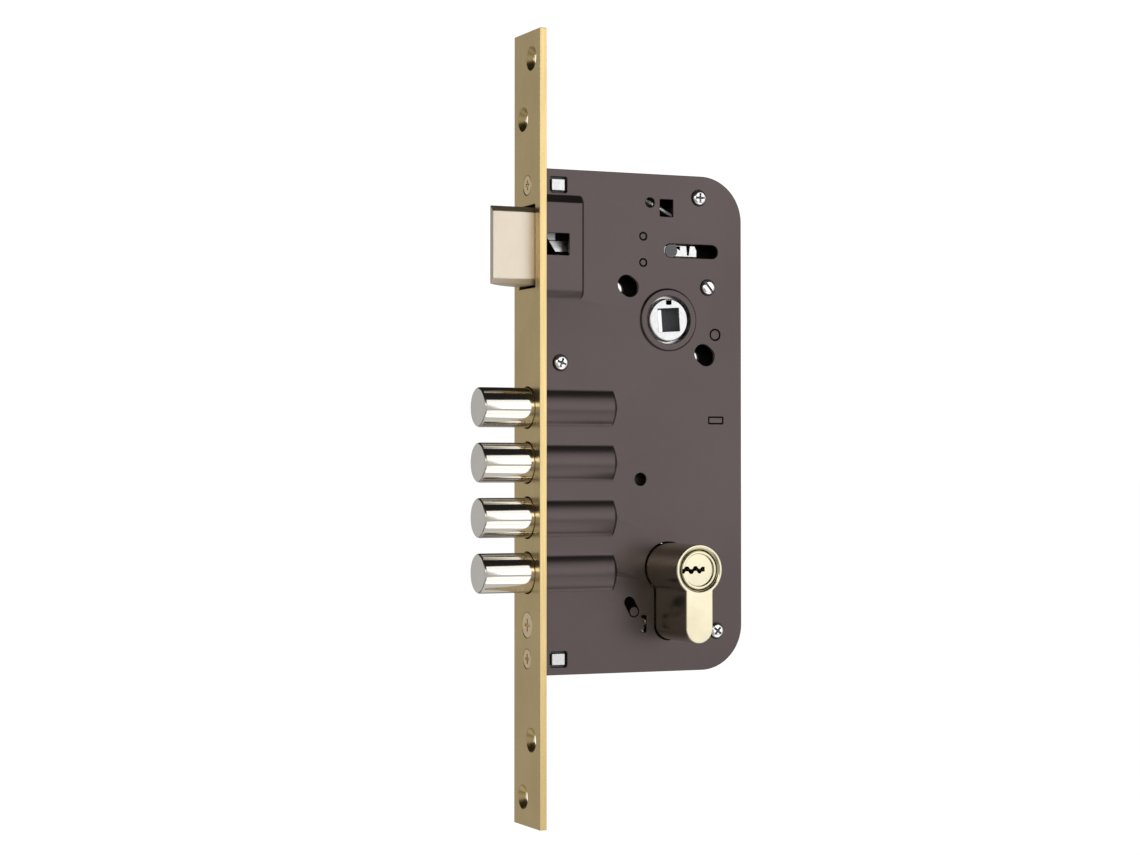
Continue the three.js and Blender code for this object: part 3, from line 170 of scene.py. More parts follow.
class Solid:
    """A closed body in millimetres, shaped with mesh operators."""

    def __init__(self, mesh: bmesh.types.BMesh) -> None:
        """Takes over a bmesh."""
        self.mesh = mesh

    @classmethod
    def box(cls, x: Point, y: Point, z: Point) -> "Solid":
        """A block from its lowest and highest X, Y and Z."""
        made = bmesh.new()
        centre = Vector(((x[0] + x[1]) / 2, (y[0] + y[1]) / 2, (z[0] + z[1]) / 2))
        size = Vector((x[1] - x[0], y[1] - y[0], z[1] - z[0]))
        bmesh.ops.create_cube(made, size=1, matrix=Matrix.LocRotScale(centre, None, size))
        return cls(made)

    @classmethod
    def turned(cls, axis: Axis, at: Point, profile: list[Point], sides: int = MEDIUM) -> "Solid":
        """A body of revolution.

        Args:
            axis: the direction of its axis.
            at: where the axis is, in the drawing plane of that direction.
            profile: points as (radius, distance along the axis), on the axis at both ends.
            sides: straight pieces all the way round.

        Returns:
            The closed body.
        """
        made = bmesh.new()
        verts = [made.verts.new(axis.place(at[0] + r, at[1], along)) for r, along in profile]
        edges = [made.edges.new(pair) for pair in zip(verts, verts[1:])]
        bmesh.ops.spin(
            made,
            geom=verts + edges,
            cent=axis.place(at[0], at[1], 0),
            axis=axis.unit,
            angle=math.tau,
            steps=sides,
            use_merge=True,
        )
        bmesh.ops.remove_doubles(made, verts=made.verts, dist=1e-4)
        bmesh.ops.recalc_face_normals(made, faces=made.faces)
        return cls(made)

    @classmethod
    def bar(cls, axis: Axis, at: Point, r: float, start: float, end: float, sides: int = MEDIUM) -> "Solid":
        """A plain round bar."""
        return cls.turned(axis, at, [(0, start), (r, start), (r, end), (0, end)], sides)

    @classmethod
    def prism(cls, axis: Axis, outline: Outline, start: float, end: float) -> "Solid":
        """An outline pushed along an axis from start to end."""
        made = bmesh.new()
        verts = [made.verts.new(axis.place(a, b, start)) for a, b in outline.points]
        bmesh.ops.remove_doubles(made, verts=verts, dist=1e-4)
        face = made.faces.new([v for v in verts if v.is_valid])
        pushed = bmesh.ops.extrude_face_region(made, geom=[face])
        moved = [g for g in pushed["geom"] if isinstance(g, bmesh.types.BMVert)]
        bmesh.ops.translate(made, verts=moved, vec=axis.unit * (end - start))
        bmesh.ops.recalc_face_normals(made, faces=made.faces)
        return cls(made)

    @classmethod
    def ring(cls, axis: Axis, at: Point, r: Point, start: float, end: float) -> "Solid":
        """A flat ring between an inner and an outer radius."""
        made = cls.bar(axis, at, r[1], start, end, FINE)
        return made.cut(cls.bar(axis, at, r[0], start - BEYOND, end + BEYOND, FINE))

    @classmethod
    def copy_of(cls, node: str) -> "Solid":
        """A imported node's own shape, with its loose triangles joined."""
        made = bmesh.new()
        made.from_mesh(bpy.data.objects[node].data)
        bmesh.ops.scale(made, vec=Vector((1 / MM,) * 3), verts=made.verts)
        bmesh.ops.remove_doubles(made, verts=made.verts, dist=1e-3)
        bmesh.ops.dissolve_limit(
            made, angle_limit=math.radians(1), verts=made.verts, edges=made.edges, delimit=set()
        )
        return cls(made)

    def rotated(self, degrees: float, axis: Axis, at: Point) -> "Solid":
        """Turns the body about an axis through a point, by the right-hand rule."""
        bmesh.ops.rotate(
            self.mesh,
            cent=axis.place(at[0], at[1], 0),
            matrix=Matrix.Rotation(math.radians(degrees), 3, axis.unit),
            verts=self.mesh.verts,
        )
        return self

    def _object(self) -> bpy.types.Object:
        """The body as a throwaway object in the scene."""
        mesh = bpy.data.meshes.new("scratch")
        self.mesh.to_mesh(mesh)
        made = bpy.data.objects.new("scratch", mesh)
        bpy.context.scene.collection.objects.link(made)
        return made

    def _boolean(self, operation: str, others: tuple["Solid", ...]) -> "Solid":
        """Joins or cuts this body with others and merges what touches.

        Args:
            operation: UNION, DIFFERENCE or INTERSECT.
            others: the bodies to join or cut with.

        Returns:
            A new body.
        """
        base = self._object()
        tools = [other._object() for other in others]
        for tool in tools:
            step = base.modifiers.new("step", "BOOLEAN")
            step.operation = operation
            step.solver = "EXACT"
            step.object = tool
        shown = base.evaluated_get(bpy.context.evaluated_depsgraph_get())
        made = bmesh.new()
        made.from_mesh(shown.to_mesh())
        shown.to_mesh_clear()
        for used in (base, *tools):
            mesh = used.data
            bpy.data.objects.remove(used)
            bpy.data.meshes.remove(mesh)
        bmesh.ops.remove_doubles(made, verts=made.verts, dist=1e-3)
        bmesh.ops.dissolve_limit(
            made, angle_limit=math.radians(0.2), verts=made.verts, edges=made.edges, delimit=set()
        )
        return Solid(made)

    def join(self, *others: "Solid") -> "Solid":
        """This body and the others as one."""
        return self._boolean("UNION", others)

    def cut(self, *others: "Solid") -> "Solid":
        """This body with the others taken out of it."""
        return self._boolean("DIFFERENCE", others)

    def common(self, *others: "Solid") -> "Solid":
        """What this body shares with the others."""
        return self._boolean("INTERSECT", others)


# ---------- finishes ----------


class Grain(Enum):
    """How a surface's fine marks run, as noise scales per metre along X, Y and Z."""

    UPRIGHT = (2600.0, 2600.0, 60.0)
    LENGTHWISE = (60.0, 2200.0, 2200.0)
    ROUND_X = (2600.0, 120.0, 120.0)
    ROUND_Y = (120.0, 2600.0, 120.0)
    EVEN = (1400.0, 1400.0, 1400.0)
    FINE = (3200.0, 3200.0, 3200.0)


@dataclass(frozen=True)
class Finish:
    """A metal or painted surface.

    Attributes:
        name: the material's name.
        slot: the record's material slot; not used here.
        colour: its colour, linear.
        worn: the colour it drifts towards in slow patches.
        metallic: how metallic it is.
        roughness: its smoothest and roughest value.
        grain: how its fine marks run.
        depth: how deep the marks look, in millimetres.
        patches: scale of the slow patches, per metre.
        coat: a clear layer over it.
    """

    name: str
    slot: str
    colour: tuple[float, float, float]
    worn: tuple[float, float, float]
    metallic: float = 1.0
    roughness: tuple[float, float] = (0.25, 0.35)
    grain: Grain = Grain.EVEN
    depth: float = 0.004
    patches: float = 45.0
    coat: float = 0.0

    def material(self) -> bpy.types.Material:
        """The material, made the first time it is asked for."""
        known = bpy.data.materials.get(self.name)
        if known:
            return known
        made = bpy.data.materials.new(self.name)
        made.use_nodes = True
        tree = made.node_tree
        shader = tree.nodes["Principled BSDF"]
        shader.inputs["Metallic"].default_value = self.metallic
        shader.inputs["Coat Weight"].default_value = self.coat
        shader.inputs["Coat Roughness"].default_value = 0.2
        place = tree.nodes.new("ShaderNodeTexCoord")
        marks = self._marks(tree, place)
        self._set_colour(tree, place, shader)
        spread = tree.nodes.new("ShaderNodeMapRange")
        spread.inputs["From Min"].default_value = 0.3
        spread.inputs["From Max"].default_value = 0.7
        spread.inputs["To Min"].default_value = self.roughness[0]
        spread.inputs["To Max"].default_value = self.roughness[1]
        tree.links.new(marks.outputs["Fac"], spread.inputs["Value"])
        tree.links.new(spread.outputs["Result"], shader.inputs["Roughness"])
        bump = tree.nodes.new("ShaderNodeBump")
        bump.inputs["Strength"].default_value = 0.5
        bump.inputs["Distance"].default_value = self.depth * MM
        tree.links.new(marks.outputs["Fac"], bump.inputs["Height"])
        tree.links.new(bump.outputs["Normal"], shader.inputs["Normal"])
        made.diffuse_color = (*self.colour, 1)
        return made

    def _marks(self, tree: bpy.types.NodeTree, place: bpy.types.Node) -> bpy.types.Node:
        """Adds the fine marks.

        Args:
            tree: the material's nodes.
            place: the texture coordinate node.

        Returns:
            The noise node that holds the marks.
        """
        stretch = tree.nodes.new("ShaderNodeMapping")
        stretch.inputs["Scale"].default_value = self.grain.value
        marks = tree.nodes.new("ShaderNodeTexNoise")
        marks.inputs["Scale"].default_value = 1.0
        marks.inputs["Detail"].default_value = 3.0
        tree.links.new(place.outputs["Object"], stretch.inputs["Vector"])
        tree.links.new(stretch.outputs["Vector"], marks.inputs["Vector"])
        return marks

    def _set_colour(self, tree: bpy.types.NodeTree, place: bpy.types.Node, shader: bpy.types.Node) -> None:
        """Drifts the colour from its own to its worn colour in slow patches.

        Args:
            tree: the material's nodes.
            place: the texture coordinate node.
            shader: the surface shader.
        """
        patch = tree.nodes.new("ShaderNodeTexNoise")
        patch.inputs["Scale"].default_value = self.patches
        patch.inputs["Detail"].default_value = 4.0
        tree.links.new(place.outputs["Object"], patch.inputs["Vector"])
        ramp = tree.nodes.new("ShaderNodeValToRGB")
        ramp.color_ramp.elements[0].position = 0.35
        ramp.color_ramp.elements[0].color = (*self.colour, 1)
        ramp.color_ramp.elements[1].position = 0.75
        ramp.color_ramp.elements[1].color = (*self.worn, 1)
        tree.links.new(patch.outputs["Fac"], ramp.inputs["Fac"])
        tree.links.new(ramp.outputs["Color"], shader.inputs["Base Color"])


BRASS_PLATE = Finish(
    "satin_brass_plate", "faceplate_brass", (0.67, 0.51, 0.24), (0.61, 0.46, 0.21),
    roughness=(0.24, 0.36), grain=Grain.UPRIGHT, depth=0.003,
)
BRASS_SCREW = Finish(
    "brass_plated_screw", "faceplate_brass", (0.9, 0.74, 0.46), (0.82, 0.66, 0.38),
    roughness=(0.28, 0.4), grain=Grain.ROUND_X, depth=0.002,
)
CASE_PAINT = Finish(
    "brown_satin_paint", "case_paint", (0.099, 0.079, 0.077), (0.087, 0.069, 0.067),
    metallic=0.85, roughness=(0.3, 0.38), grain=Grain.FINE, depth=0.004, patches=20.0,
)
POLISHED_NICKEL = Finish(
    "polished_nickel", "bolt_nickel", (0.83, 0.79, 0.72), (0.8, 0.76, 0.68),
    roughness=(0.07, 0.13), grain=Grain.ROUND_X, depth=0.0012,
)
TIP_NICKEL = Finish(
    "faced_nickel", "bolt_nickel", (0.92, 0.89, 0.82), (0.86, 0.83, 0.76),
    roughness=(0.32, 0.44), grain=Grain.EVEN, depth=0.002,
)
LATCH_NICKEL = Finish(
    "satin_nickel", "latch_nickel", (0.72, 0.64, 0.53), (0.68, 0.6, 0.49),
    roughness=(0.4, 0.5), grain=Grain.FINE, depth=0.003,
)
ZINC = Finish(
    "bright_zinc", "zinc_steel", (0.64, 0.64, 0.64), (0.54, 0.54, 0.54),
    roughness=(0.25, 0.4), grain=Grain.EVEN, depth=0.004,
)
BRIGHT_SCREW = Finish(
    "bright_screw", "zinc_steel", (0.84, 0.84, 0.82), (0.78, 0.78, 0.76),
    roughness=(0.16, 0.24), grain=Grain.ROUND_Y, depth=0.001,
)
DULL_STEEL = Finish(
    "dull_steel", "zinc_steel", (0.5, 0.52, 0.54), (0.42, 0.44, 0.46),
    metallic=0.4, roughness=(0.5, 0.6), grain=Grain.EVEN, depth=0.003,
)
SPRING_WIRE = Finish(
    "spring_wire", "zinc_steel", (0.9, 0.9, 0.89), (0.84, 0.84, 0.83),
    metallic=0.4, roughness=(0.34, 0.44), grain=Grain.EVEN, depth=0.002,
)
DARK_STEEL = Finish(
    "oiled_steel", "dark_steel", (0.11, 0.11, 0.115), (0.08, 0.08, 0.085),
    roughness=(0.3, 0.5), grain=Grain.LENGTHWISE, depth=0.006,
)
# Painted shade: a dark, rough colour put on hole walls and faces deep in the case, standing in for the shadow
# that is seen there.
HOLE_SHADE = Finish(
    "painted_hole_shade", "zinc_steel", (0.1, 0.103, 0.112), (0.08, 0.083, 0.09),
    roughness=(0.4, 0.55), grain=Grain.EVEN, depth=0.006,
)
CYLINDER_BRASS = Finish(
    "machined_brass", "cylinder_brass", (0.66, 0.61, 0.45), (0.61, 0.55, 0.39),
    roughness=(0.16, 0.26), grain=Grain.ROUND_Y, depth=0.002,
)


# ---------- pieces ----------


@dataclass(frozen=True)
class Piece:
    """What a finished piece is called, what it rides on and which nodes it stands for."""

    name: str
    body: str
    finish: Finish
    stands_for: tuple[str, ...]
    edge: float = 0.15
    edge_steps: int = 2
    sharp: float = 32.0

    def make(self, solid: Solid) -> bpy.types.Object:
        """Finishes a body: metres, clean faces, soft edges, its material and its place in the lock.

        Args:
            solid: the body in millimetres.

        Returns:
            The object in the scene.
        """
        bmesh.ops.scale(solid.mesh, vec=Vector((MM,) * 3), verts=solid.mesh.verts)
        bmesh.ops.recalc_face_normals(solid.mesh, faces=solid.mesh.faces)
        mesh = bpy.data.meshes.new(self.name)
        solid.mesh.to_mesh(mesh)
        mesh.shade_smooth()
        mesh.set_sharp_from_angle(angle=math.radians(self.sharp))
        mesh.materials.append(self.finish.material())
        made = bpy.data.objects.new(self.name, mesh)
        bpy.context.scene.collection.objects.link(made)
        if self.edge > 0:
            self._soften(made)
        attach(made, self.body)
        if self.stands_for:
            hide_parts(*self.stands_for)
        log.info("%s: %d faces on %s", self.name, len(mesh.polygons), self.body)
        return made

    def _soften(self, made: bpy.types.Object) -> None:
        """Rounds the edges that are sharper than the piece's limit."""
        soft = made.modifiers.new("soft_edges", "BEVEL")
        soft.width = self.edge * MM
        soft.segments = self.edge_steps
        soft.use_clamp_overlap = False
        soft.harden_normals = True
        soft.miter_outer = "MITER_ARC"
        soft.limit_method = "ANGLE"
        soft.angle_limit = math.radians(self.sharp)


@dataclass(frozen=True)
class Span:
    """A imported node's box in millimetres."""

    low: Vector
    high: Vector

    @classmethod
    def of(cls, node: str) -> "Span":
        """The box of a node."""
        low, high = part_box(node)
        return cls(low / MM, high / MM)

    @property
    def middle(self) -> Vector:
        """The box's centre."""
        return (self.low + self.high) / 2

    @property
    def size(self) -> Vector:
        """The box's lengths along X, Y and Z."""
        return self.high - self.low

    def x(self, grow: float = 0) -> Point:
        """Its reach along X, grown at both ends."""
        return (self.low.x - grow, self.high.x + grow)

    def y(self, grow: float = 0) -> Point:
        """Its reach along Y, grown at both ends."""
        return (self.low.y - grow, self.high.y + grow)

    def z(self, grow: float = 0) -> Point:
        """Its reach along Z, grown at both ends."""
        return (self.low.z - grow, self.high.z + grow)

    @property
    def xz(self) -> Point:
        """Its centre in X and Z."""
        return (self.middle.x, self.middle.z)


ROOT = "lock_case"
BOLTS = tuple(f"bolt_{i}" for i in range(1, 5))
PILLARS = ("pillar_top", "pillar_front", "pillar_bottom", "pillar_slotted")
COVER_SCREWS = ("cover_screw_top", "cover_screw_front", "cover_screw_bottom", "cover_screw_slotted")


@dataclass
class Faceplate:
    """The brass plate with its screws."""

    bolt_gap: float = 0.4
    latch_side_gap: float = 0.25
    latch_end_gap: float = 0.9
    hole_r: float = 2.3
    sink_r: float = 4.2
    sink_depth: float = 1.9
    stagger: float = 3.5
    from_end: tuple[float, float] = (9.2, 9.5)
    spacing: float = 19.8
    screw_gap: float = 0.25
    edge: float = 0.22

    def sink(self, y: float, z: float, head_r: float, hole_r: float, depth: float) -> Solid:
        """A countersunk hole's cutter, from the plate's front."""
        lip = (head_r - hole_r) / depth
        end = Span.of("faceplate").high.x + BEYOND
        profile = [(0, -BEYOND), (head_r + lip * BEYOND, -BEYOND), (hole_r, depth), (hole_r, end), (0, end)]
        return Solid.turned(Axis.X, (y, z), profile)

    def build(self) -> None:
        """Makes the plate with all its openings."""
        plate = Span.of("faceplate")
        top = plate.high.z - self.from_end[0]
        bottom = plate.low.z + self.from_end[1]
        holes = [
            (-self.stagger, top),
            (self.stagger, top - self.spacing),
            (self.stagger, bottom),
            (-self.stagger, bottom + self.spacing),
        ]
        cutters = [self.sink(y, z, self.sink_r, self.hole_r, self.sink_depth) for y, z in holes]
        for name in ("faceplate_screw_upper", "faceplate_screw_lower", "cylinder_screw"):
            screw = Span.of(name)
            head = screw.size.z / 2 + self.screw_gap
            shank = head * 0.5 + self.screw_gap
            cutters.append(self.sink(0, screw.middle.z, head, shank, head - shank))
        for name in BOLTS:
            bolt = Span.of(name)
            r = bolt.size.z / 2 + self.bolt_gap
            cutters.append(Solid.bar(Axis.X, (0, bolt.middle.z), r, -BEYOND, plate.high.x + BEYOND, FINE))
        latch = Span.of("latch_head")
        through = (-BEYOND, plate.high.x + BEYOND)
        cutters.append(Solid.box(through, latch.y(self.latch_side_gap), latch.z(self.latch_end_gap)))
        blank = Solid.box(plate.x(), plate.y(), plate.z())
        piece = Piece("faceplate_fine", ROOT, BRASS_PLATE, ("faceplate",), self.edge, 3)
        piece.make(blank.cut(*cutters))


@dataclass
class SunkScrew:
    """A countersunk screw with a cross recess, lying along X in the faceplate."""

    node: str
    shank_r: float
    recess_width: float = 0.85
    recess_span: float = 0.5
    recess_depth: float = 1.0
    pitch: float = 0.8
    thread_depth: float = 0.2

    def build(self) -> None:
        """Makes the screw, threaded behind its head."""
        box = Span.of(self.node)
        head_r = box.size.z / 2
        z = box.middle.z
        start = box.low.x
        neck = start + head_r - self.shank_r + 0.2
        profile = [(0, start), (head_r - 0.1, start), (head_r, start + 0.15), (self.shank_r, neck)]
        along = neck + 1
        while along < box.high.x - self.pitch:
            profile.append((self.shank_r, along))
            profile.append((self.shank_r - self.thread_depth, along + self.pitch / 2))
            along += self.pitch
        profile.append((self.shank_r, along))
        profile.append((self.shank_r - 0.4, box.high.x))
        profile.append((0, box.high.x))
        body = Solid.turned(Axis.X, (0, z), profile)
        half = self.recess_width / 2
        span = head_r * self.recess_span
        depth = (start - BEYOND, start + self.recess_depth)
        recess = [
            Solid.box(depth, (-span, span), (z - half, z + half)),
            Solid.box(depth, (-half, half), (z - span, z + span)),
        ]
        piece = Piece(self.node + "_fine", ROOT, BRASS_SCREW, (self.node,), 0.06, 1, 40)
        piece.make(body.cut(*recess))


@dataclass
class Case:
    """The cover and the tray, with their pressed bosses and windows."""

    sheet: float = 1.2
    corner: float = 15.5
    clearance: float = 0.3
    edge: float = 0.26
    base_fillet: float = 2.0
    boss_r: float = 8.55
    boss_end: float = 30.9
    boss_end_length: float = 2.2
    latch_boss_end: float = 18.3
    latch_boss_base: float = 17.7
    latch_boss_top: float = 14.6
    latch_boss_rise: float = 2.3
    latch_boss_wall: float = 1.7
    collar_r: float = 10.35
    collar_rise: float = 0.8
    collar_slope: float = 0.5
    hub_hole_r: float = 8.25
    wall_gap: float = 0.1
    fix_r: float = 3.25
    fix_far_r: float = 2.6
    fix_stretch: float = 1.5
    fix_offsets: tuple[Point, Point] = ((-15.1, 11.3), (14.1, -11.8))
    rivet_gap: float = 0.36
    profile_gap: float = 0.3
    tenon_r: float = 2.2
    face_screw_bore_r: float = 1.9
    cylinder_screw_bore_r: float = 2.5
    screw_hole_r: float = 1.6
    screw_seat: float = 0.45
    screw_seat_gap: float = 0.3
    tab_gap: float = 0.75
    window_corner: float = 0.35
    latch_window: tuple[float, float, float] = (11.9, 20.8, 28.1)
    tail_window_r: float = 2.35
    tail_window_start: float = -0.9
    latch_travel: float = 15.0
    spring_window: tuple[float, float, float, float] = (-3.0, 2.0, -14.4, -8.5)
    spring_hole: tuple[float, float, float] = (-6.8, -9.8, 1.7)
    lever_hole: tuple[float, float, float] = (-10.5, 30.3, 2.15)
    stop_slot: Point = (-1.7, 3.2)
    stop_gap: float = 0.3
    hook: tuple[float, float, float, float] = (-10.1, -8.2, -21.9, -16.1)
    hook_stroke: float = 0.9

    def __post_init__(self) -> None:
        """Reads the case's size from the frame."""
        cover, tray = Span.of("case_cover"), Span.of("case_tray")
        self.front = tray.low.x
        self.back = tray.high.x
        self.low = tray.low.z
        self.top = tray.high.z
        self.half = -cover.high.y + self.sheet
        self.inner = self.half - self.sheet
        self.rim_near = tray.low.y
        self.axis_x = Span.of("plug_outer").middle.x
        self.latch_z = Span.of("latch_head").middle.z
        self.bolt_zs = [Span.of(name).middle.z for name in BOLTS]

    def outline(self, inset: float) -> Outline:
        """The case's outline, square at the front and round at the back corners."""
        r = self.corner - inset
        back, low, top = self.back - inset, self.low + inset, self.top - inset
        made = Outline().to(self.front, low)
        made.arc(back - r, low + r, r, -90, 0, 24)
        made.arc(back - r, top - r, r, 0, 90, 24)
        return made.to(self.front, top)

    @staticmethod
    def eased(t: float, corner: float = 0.3) -> float:
        """A ramp from 0 to 1 that is straight in the middle and round at both ends.

        Args:
            t: how far up the ramp, from 0 to 1; it is held to that range.
            corner: the share of the ramp that each round end takes.

        Returns:
            The height, from 0 to 1.
        """
        t = min(max(t, 0.0), 1.0)
        steep = 1 - corner
        if t < corner:
            return t * t / (2 * corner * steep)
        if t > steep:
            return 1 - (1 - t) ** 2 / (2 * corner * steep)
        return (t - corner / 2) / steep

    def bolt_rise(self, x: float, z: float, shrink: float) -> float:
        """How far a bolt boss stands out at a point.

        Args:
            x: distance from the faceplate's front.
            z: distance from the bolt's axis.
            shrink: how far inside the outer face the surface lies.

        Returns:
            The height over the flat sheet.
        """
        sheet = self.half - shrink
        full = self.boss_r - shrink
        fade = self.eased((self.boss_end - shrink - x) / self.boss_end_length)
        r = sheet + (full - sheet) * fade
        fillet = self.base_fillet + shrink
        if r - sheet < 0.01:
            return 0.0
        foot = math.sqrt((r + fillet) ** 2 - (sheet + fillet) ** 2)
        meet = foot * r / (r + fillet)
        z = abs(z)
        if z <= meet:
            return math.sqrt(r * r - z * z) - sheet
        if z < foot:
            return fillet - math.sqrt(max(fillet * fillet - (z - foot) ** 2, 0.0))
        return 0.0

    def latch_rise(self, x: float, z: float, shrink: float) -> float:
        """How far the latch boss stands out at a point, z being taken from the latch's centre."""
        slope = self.latch_boss_base - self.latch_boss_top
        up = min(max((self.latch_boss_base - shrink * 0.6 - abs(z)) / slope, 0.0), 1.0)
        along = min(max((self.latch_boss_end - shrink - x) / self.latch_boss_wall, 0.0), 1.0)
        return self.latch_boss_rise * self.eased(1 - math.hypot(1 - up, 1 - along), 0.12)

    def rise(self, x: float, z: float, shrink: float) -> float:
        """The height of whichever boss lies at a point."""
        heights = [self.bolt_rise(x, z - centre, shrink) for centre in self.bolt_zs]
        heights.append(self.latch_rise(x, z - self.latch_z, shrink))
        return max(heights)

    @staticmethod
    def steps(start: float, end: float, pitch: float) -> list[float]:
        """Evenly spread places from start to end, about a pitch apart."""
        count = max(1, round((end - start) / pitch))
        return [start + (end - start) * i / count for i in range(count + 1)]

    def grid_lines(self, x: Point, z: Point) -> tuple[list[float], list[float]]:
        """Where the pressed sheet's grid has its lines, close together only over the bosses.

        Args:
            x: reach along X.
            z: reach along Z.

        Returns:
            The lines' places along X and along Z.
        """
        xs = {x[0], x[1]}
        latch_boss = (self.latch_boss_end, self.latch_boss_wall)
        bolt_boss = (self.boss_end, self.boss_end_length)
        for end, length in (latch_boss, bolt_boss):
            xs.update(self.steps(end - self.sheet - length, end + 0.1, 0.16))
        zs = {z[0], z[1]}
        for centre in self.bolt_zs:
            zs.update(self.steps(centre - 7.2, centre + 7.2, 0.3))
        for side in (-1, 1):
            edge = self.latch_z + side * self.latch_boss_base
            inner = self.latch_z + side * (self.latch_boss_top - self.sheet)
            zs.update(self.steps(min(edge, inner), max(edge, inner), 0.2))
        return sorted(xs), sorted(zs)

    def pressed(self, side: int, shrink: float, x: Point, z: Point, back: float) -> Solid:
        """A block whose outer face is the pressed sheet with its bosses.

        Args:
            side: -1 for the cover, 1 for the tray.
            shrink: how far inside the sheet's outer face that face lies.
            x: reach along X.
            z: reach along Z.
            back: the Y of its flat side.

        Returns:
            The closed block.
        """
        xs, zs = self.grid_lines(x, z)
        made = bmesh.new()
        bmesh.ops.create_grid(made, x_segments=len(xs) - 1, y_segments=len(zs) - 1, size=1)
        for vert in made.verts:
            along = xs[round((vert.co.x + 1) / 2 * (len(xs) - 1))]
            high = zs[round((vert.co.y + 1) / 2 * (len(zs) - 1))]
            out = self.half - shrink + self.rise(along, high, shrink)
            vert.co = Vector((along, side * out, high))
        pushed = bmesh.ops.extrude_face_region(made, geom=list(made.faces))
        for item in pushed["geom"]:
            if isinstance(item, bmesh.types.BMVert):
                item.co.y = back
        bmesh.ops.recalc_face_normals(made, faces=made.faces)
        return Solid(made)

    def mouths(self) -> list[Solid]:
        """The tray's front openings for the bolts and the latch."""
        start, end = self.front - BEYOND, self.front + self.sheet + BEYOND
        made = []
        for z in self.bolt_zs:
            made.append(Solid.bar(Axis.X, (0, z), self.boss_r - self.sheet, start, end, FINE))
        half = self.latch_boss_top - self.sheet / 2
        reach = self.half + self.latch_boss_rise - self.sheet
        made.append(Solid.box((start, end), (-reach, reach), (self.latch_z - half, self.latch_z + half)))
        return made

    def common_openings(self, y0: float, y1: float) -> list[Solid]:
        """Openings that both sheets share, as cutters from y0 to y1."""
        made = [Solid.bar(Axis.Y, (self.axis_x, 0), self.hub_hole_r, y0, y1, FINE)]
        made.append(Cylinder().profile(y0, y1, self.profile_gap))
        for dx, dz in self.fix_offsets:
            reach = math.hypot(dx, dz)
            ux, uz = dx / reach * self.fix_stretch / 2, dz / reach * self.fix_stretch / 2
            x, z = self.axis_x + dx, dz
            r = self.fix_r if y0 < 0 else self.fix_far_r
            made.append(Solid.prism(Axis.Y, Outline.slot(x - ux, z - uz, x + ux, z + uz, r), y0, y1))
        for name in ("guide_rivet_upper", "guide_rivet_lower", "spring_pin"):
            pin = Span.of(name)
            made.append(Solid.bar(Axis.Y, pin.xz, pin.size.x / 2 + self.rivet_gap, y0, y1))
        for name in ("screw_lug_upper", "screw_lug_lower"):
            tab = Lug(name).tab()
            grow = self.tab_gap
            window = Outline.rounded(tab[0] - grow, tab[1] + grow, tab[2] - grow, tab[3] + grow, grow)
            made.append(Solid.prism(Axis.Y, window, y0, y1))
        lug = Span.of("guide_lug")
        x, z = lug.x(self.clearance), lug.z(self.clearance)
        made.append(Solid.prism(Axis.Y, Outline.rounded(*x, *z, 0.3), y0, y1))
        return made

    def cover_openings(self, y0: float, y1: float) -> list[Solid]:
        """Openings in the cover alone."""
        axis, cylinder = self.axis_x, Span.of("plug_outer").middle.z
        pin, stop = Span.of("tail_pin").middle, Span.of("stop_pin")
        made = []
        for screw in map(Span.of, COVER_SCREWS):
            seat_r = screw.size.x / 2 + self.screw_seat_gap
            made.append(Solid.bar(Axis.Y, screw.xz, self.screw_hole_r, y0, y1))
            made.append(Solid.bar(Axis.Y, screw.xz, seat_r, y0, -self.half + self.screw_seat))
        x0, x1, z0, z1 = self.spring_window
        start, end = pin.x + self.tail_window_start, pin.x + self.latch_travel
        windows = [
            Outline.rounded(self.front + self.clearance, *self.latch_window, self.window_corner),
            Outline.slot(start, pin.z, end, pin.z, self.tail_window_r),
            Outline.rounded(axis + x0, axis + x1, self.top + z0, self.top + z1, self.window_corner),
            Outline.slot(
                stop.middle.x + self.stop_slot[0], stop.middle.z + self.stop_slot[1], *stop.xz,
                stop.size.x / 2 + self.stop_gap,
            ),
        ]
        made.extend(Solid.prism(Axis.Y, window, y0, y1) for window in windows)
        for (x, z, r), level in ((self.spring_hole, self.top), (self.lever_hole, cylinder)):
            made.append(Solid.bar(Axis.Y, (axis + x, level + z), r, y0, y1))
        made.append(self.hook_slot(y0, y1))
        return made

    def hook_slot(self, y0: float, y1: float) -> Solid:
        """The hook-shaped slot beside the cylinder, as a cutter from y0 to y1."""
        x0, x1, z0, z1 = self.hook
        axis, cylinder = self.axis_x, Span.of("plug_outer").middle.z
        whole = Solid.box((axis + x0, axis + x1), (y0, y1), (cylinder + z0, cylinder + z1))
        left = Solid.box(
            (axis + x0 - BEYOND, axis + x1 - self.hook_stroke),
            (y0 - BEYOND, y1 + BEYOND),
            (cylinder + z0 + self.hook_stroke, cylinder + z1 - self.hook_stroke),
        )
        return whole.cut(left)

    def collar(self, side: int) -> Solid:
        """The raised ring round the follower on one side, with a sloped edge."""
        sunk, top = self.half - self.sheet / 2, self.half + self.collar_rise
        spread = self.collar_slope * (top - sunk)
        profile = [(0, sunk), (self.collar_r + spread, sunk), (self.collar_r, top), (0, top)]
        return Solid.turned(Axis.Y, (self.axis_x, 0), [(a, side * b) for a, b in profile], FINE)

    def whole(self, grow: float) -> tuple[Point, Point]:
        """The case's reach along X and Z, grown at its edges."""
        return (self.front - grow, self.back + grow), (self.low - grow, self.top + grow)

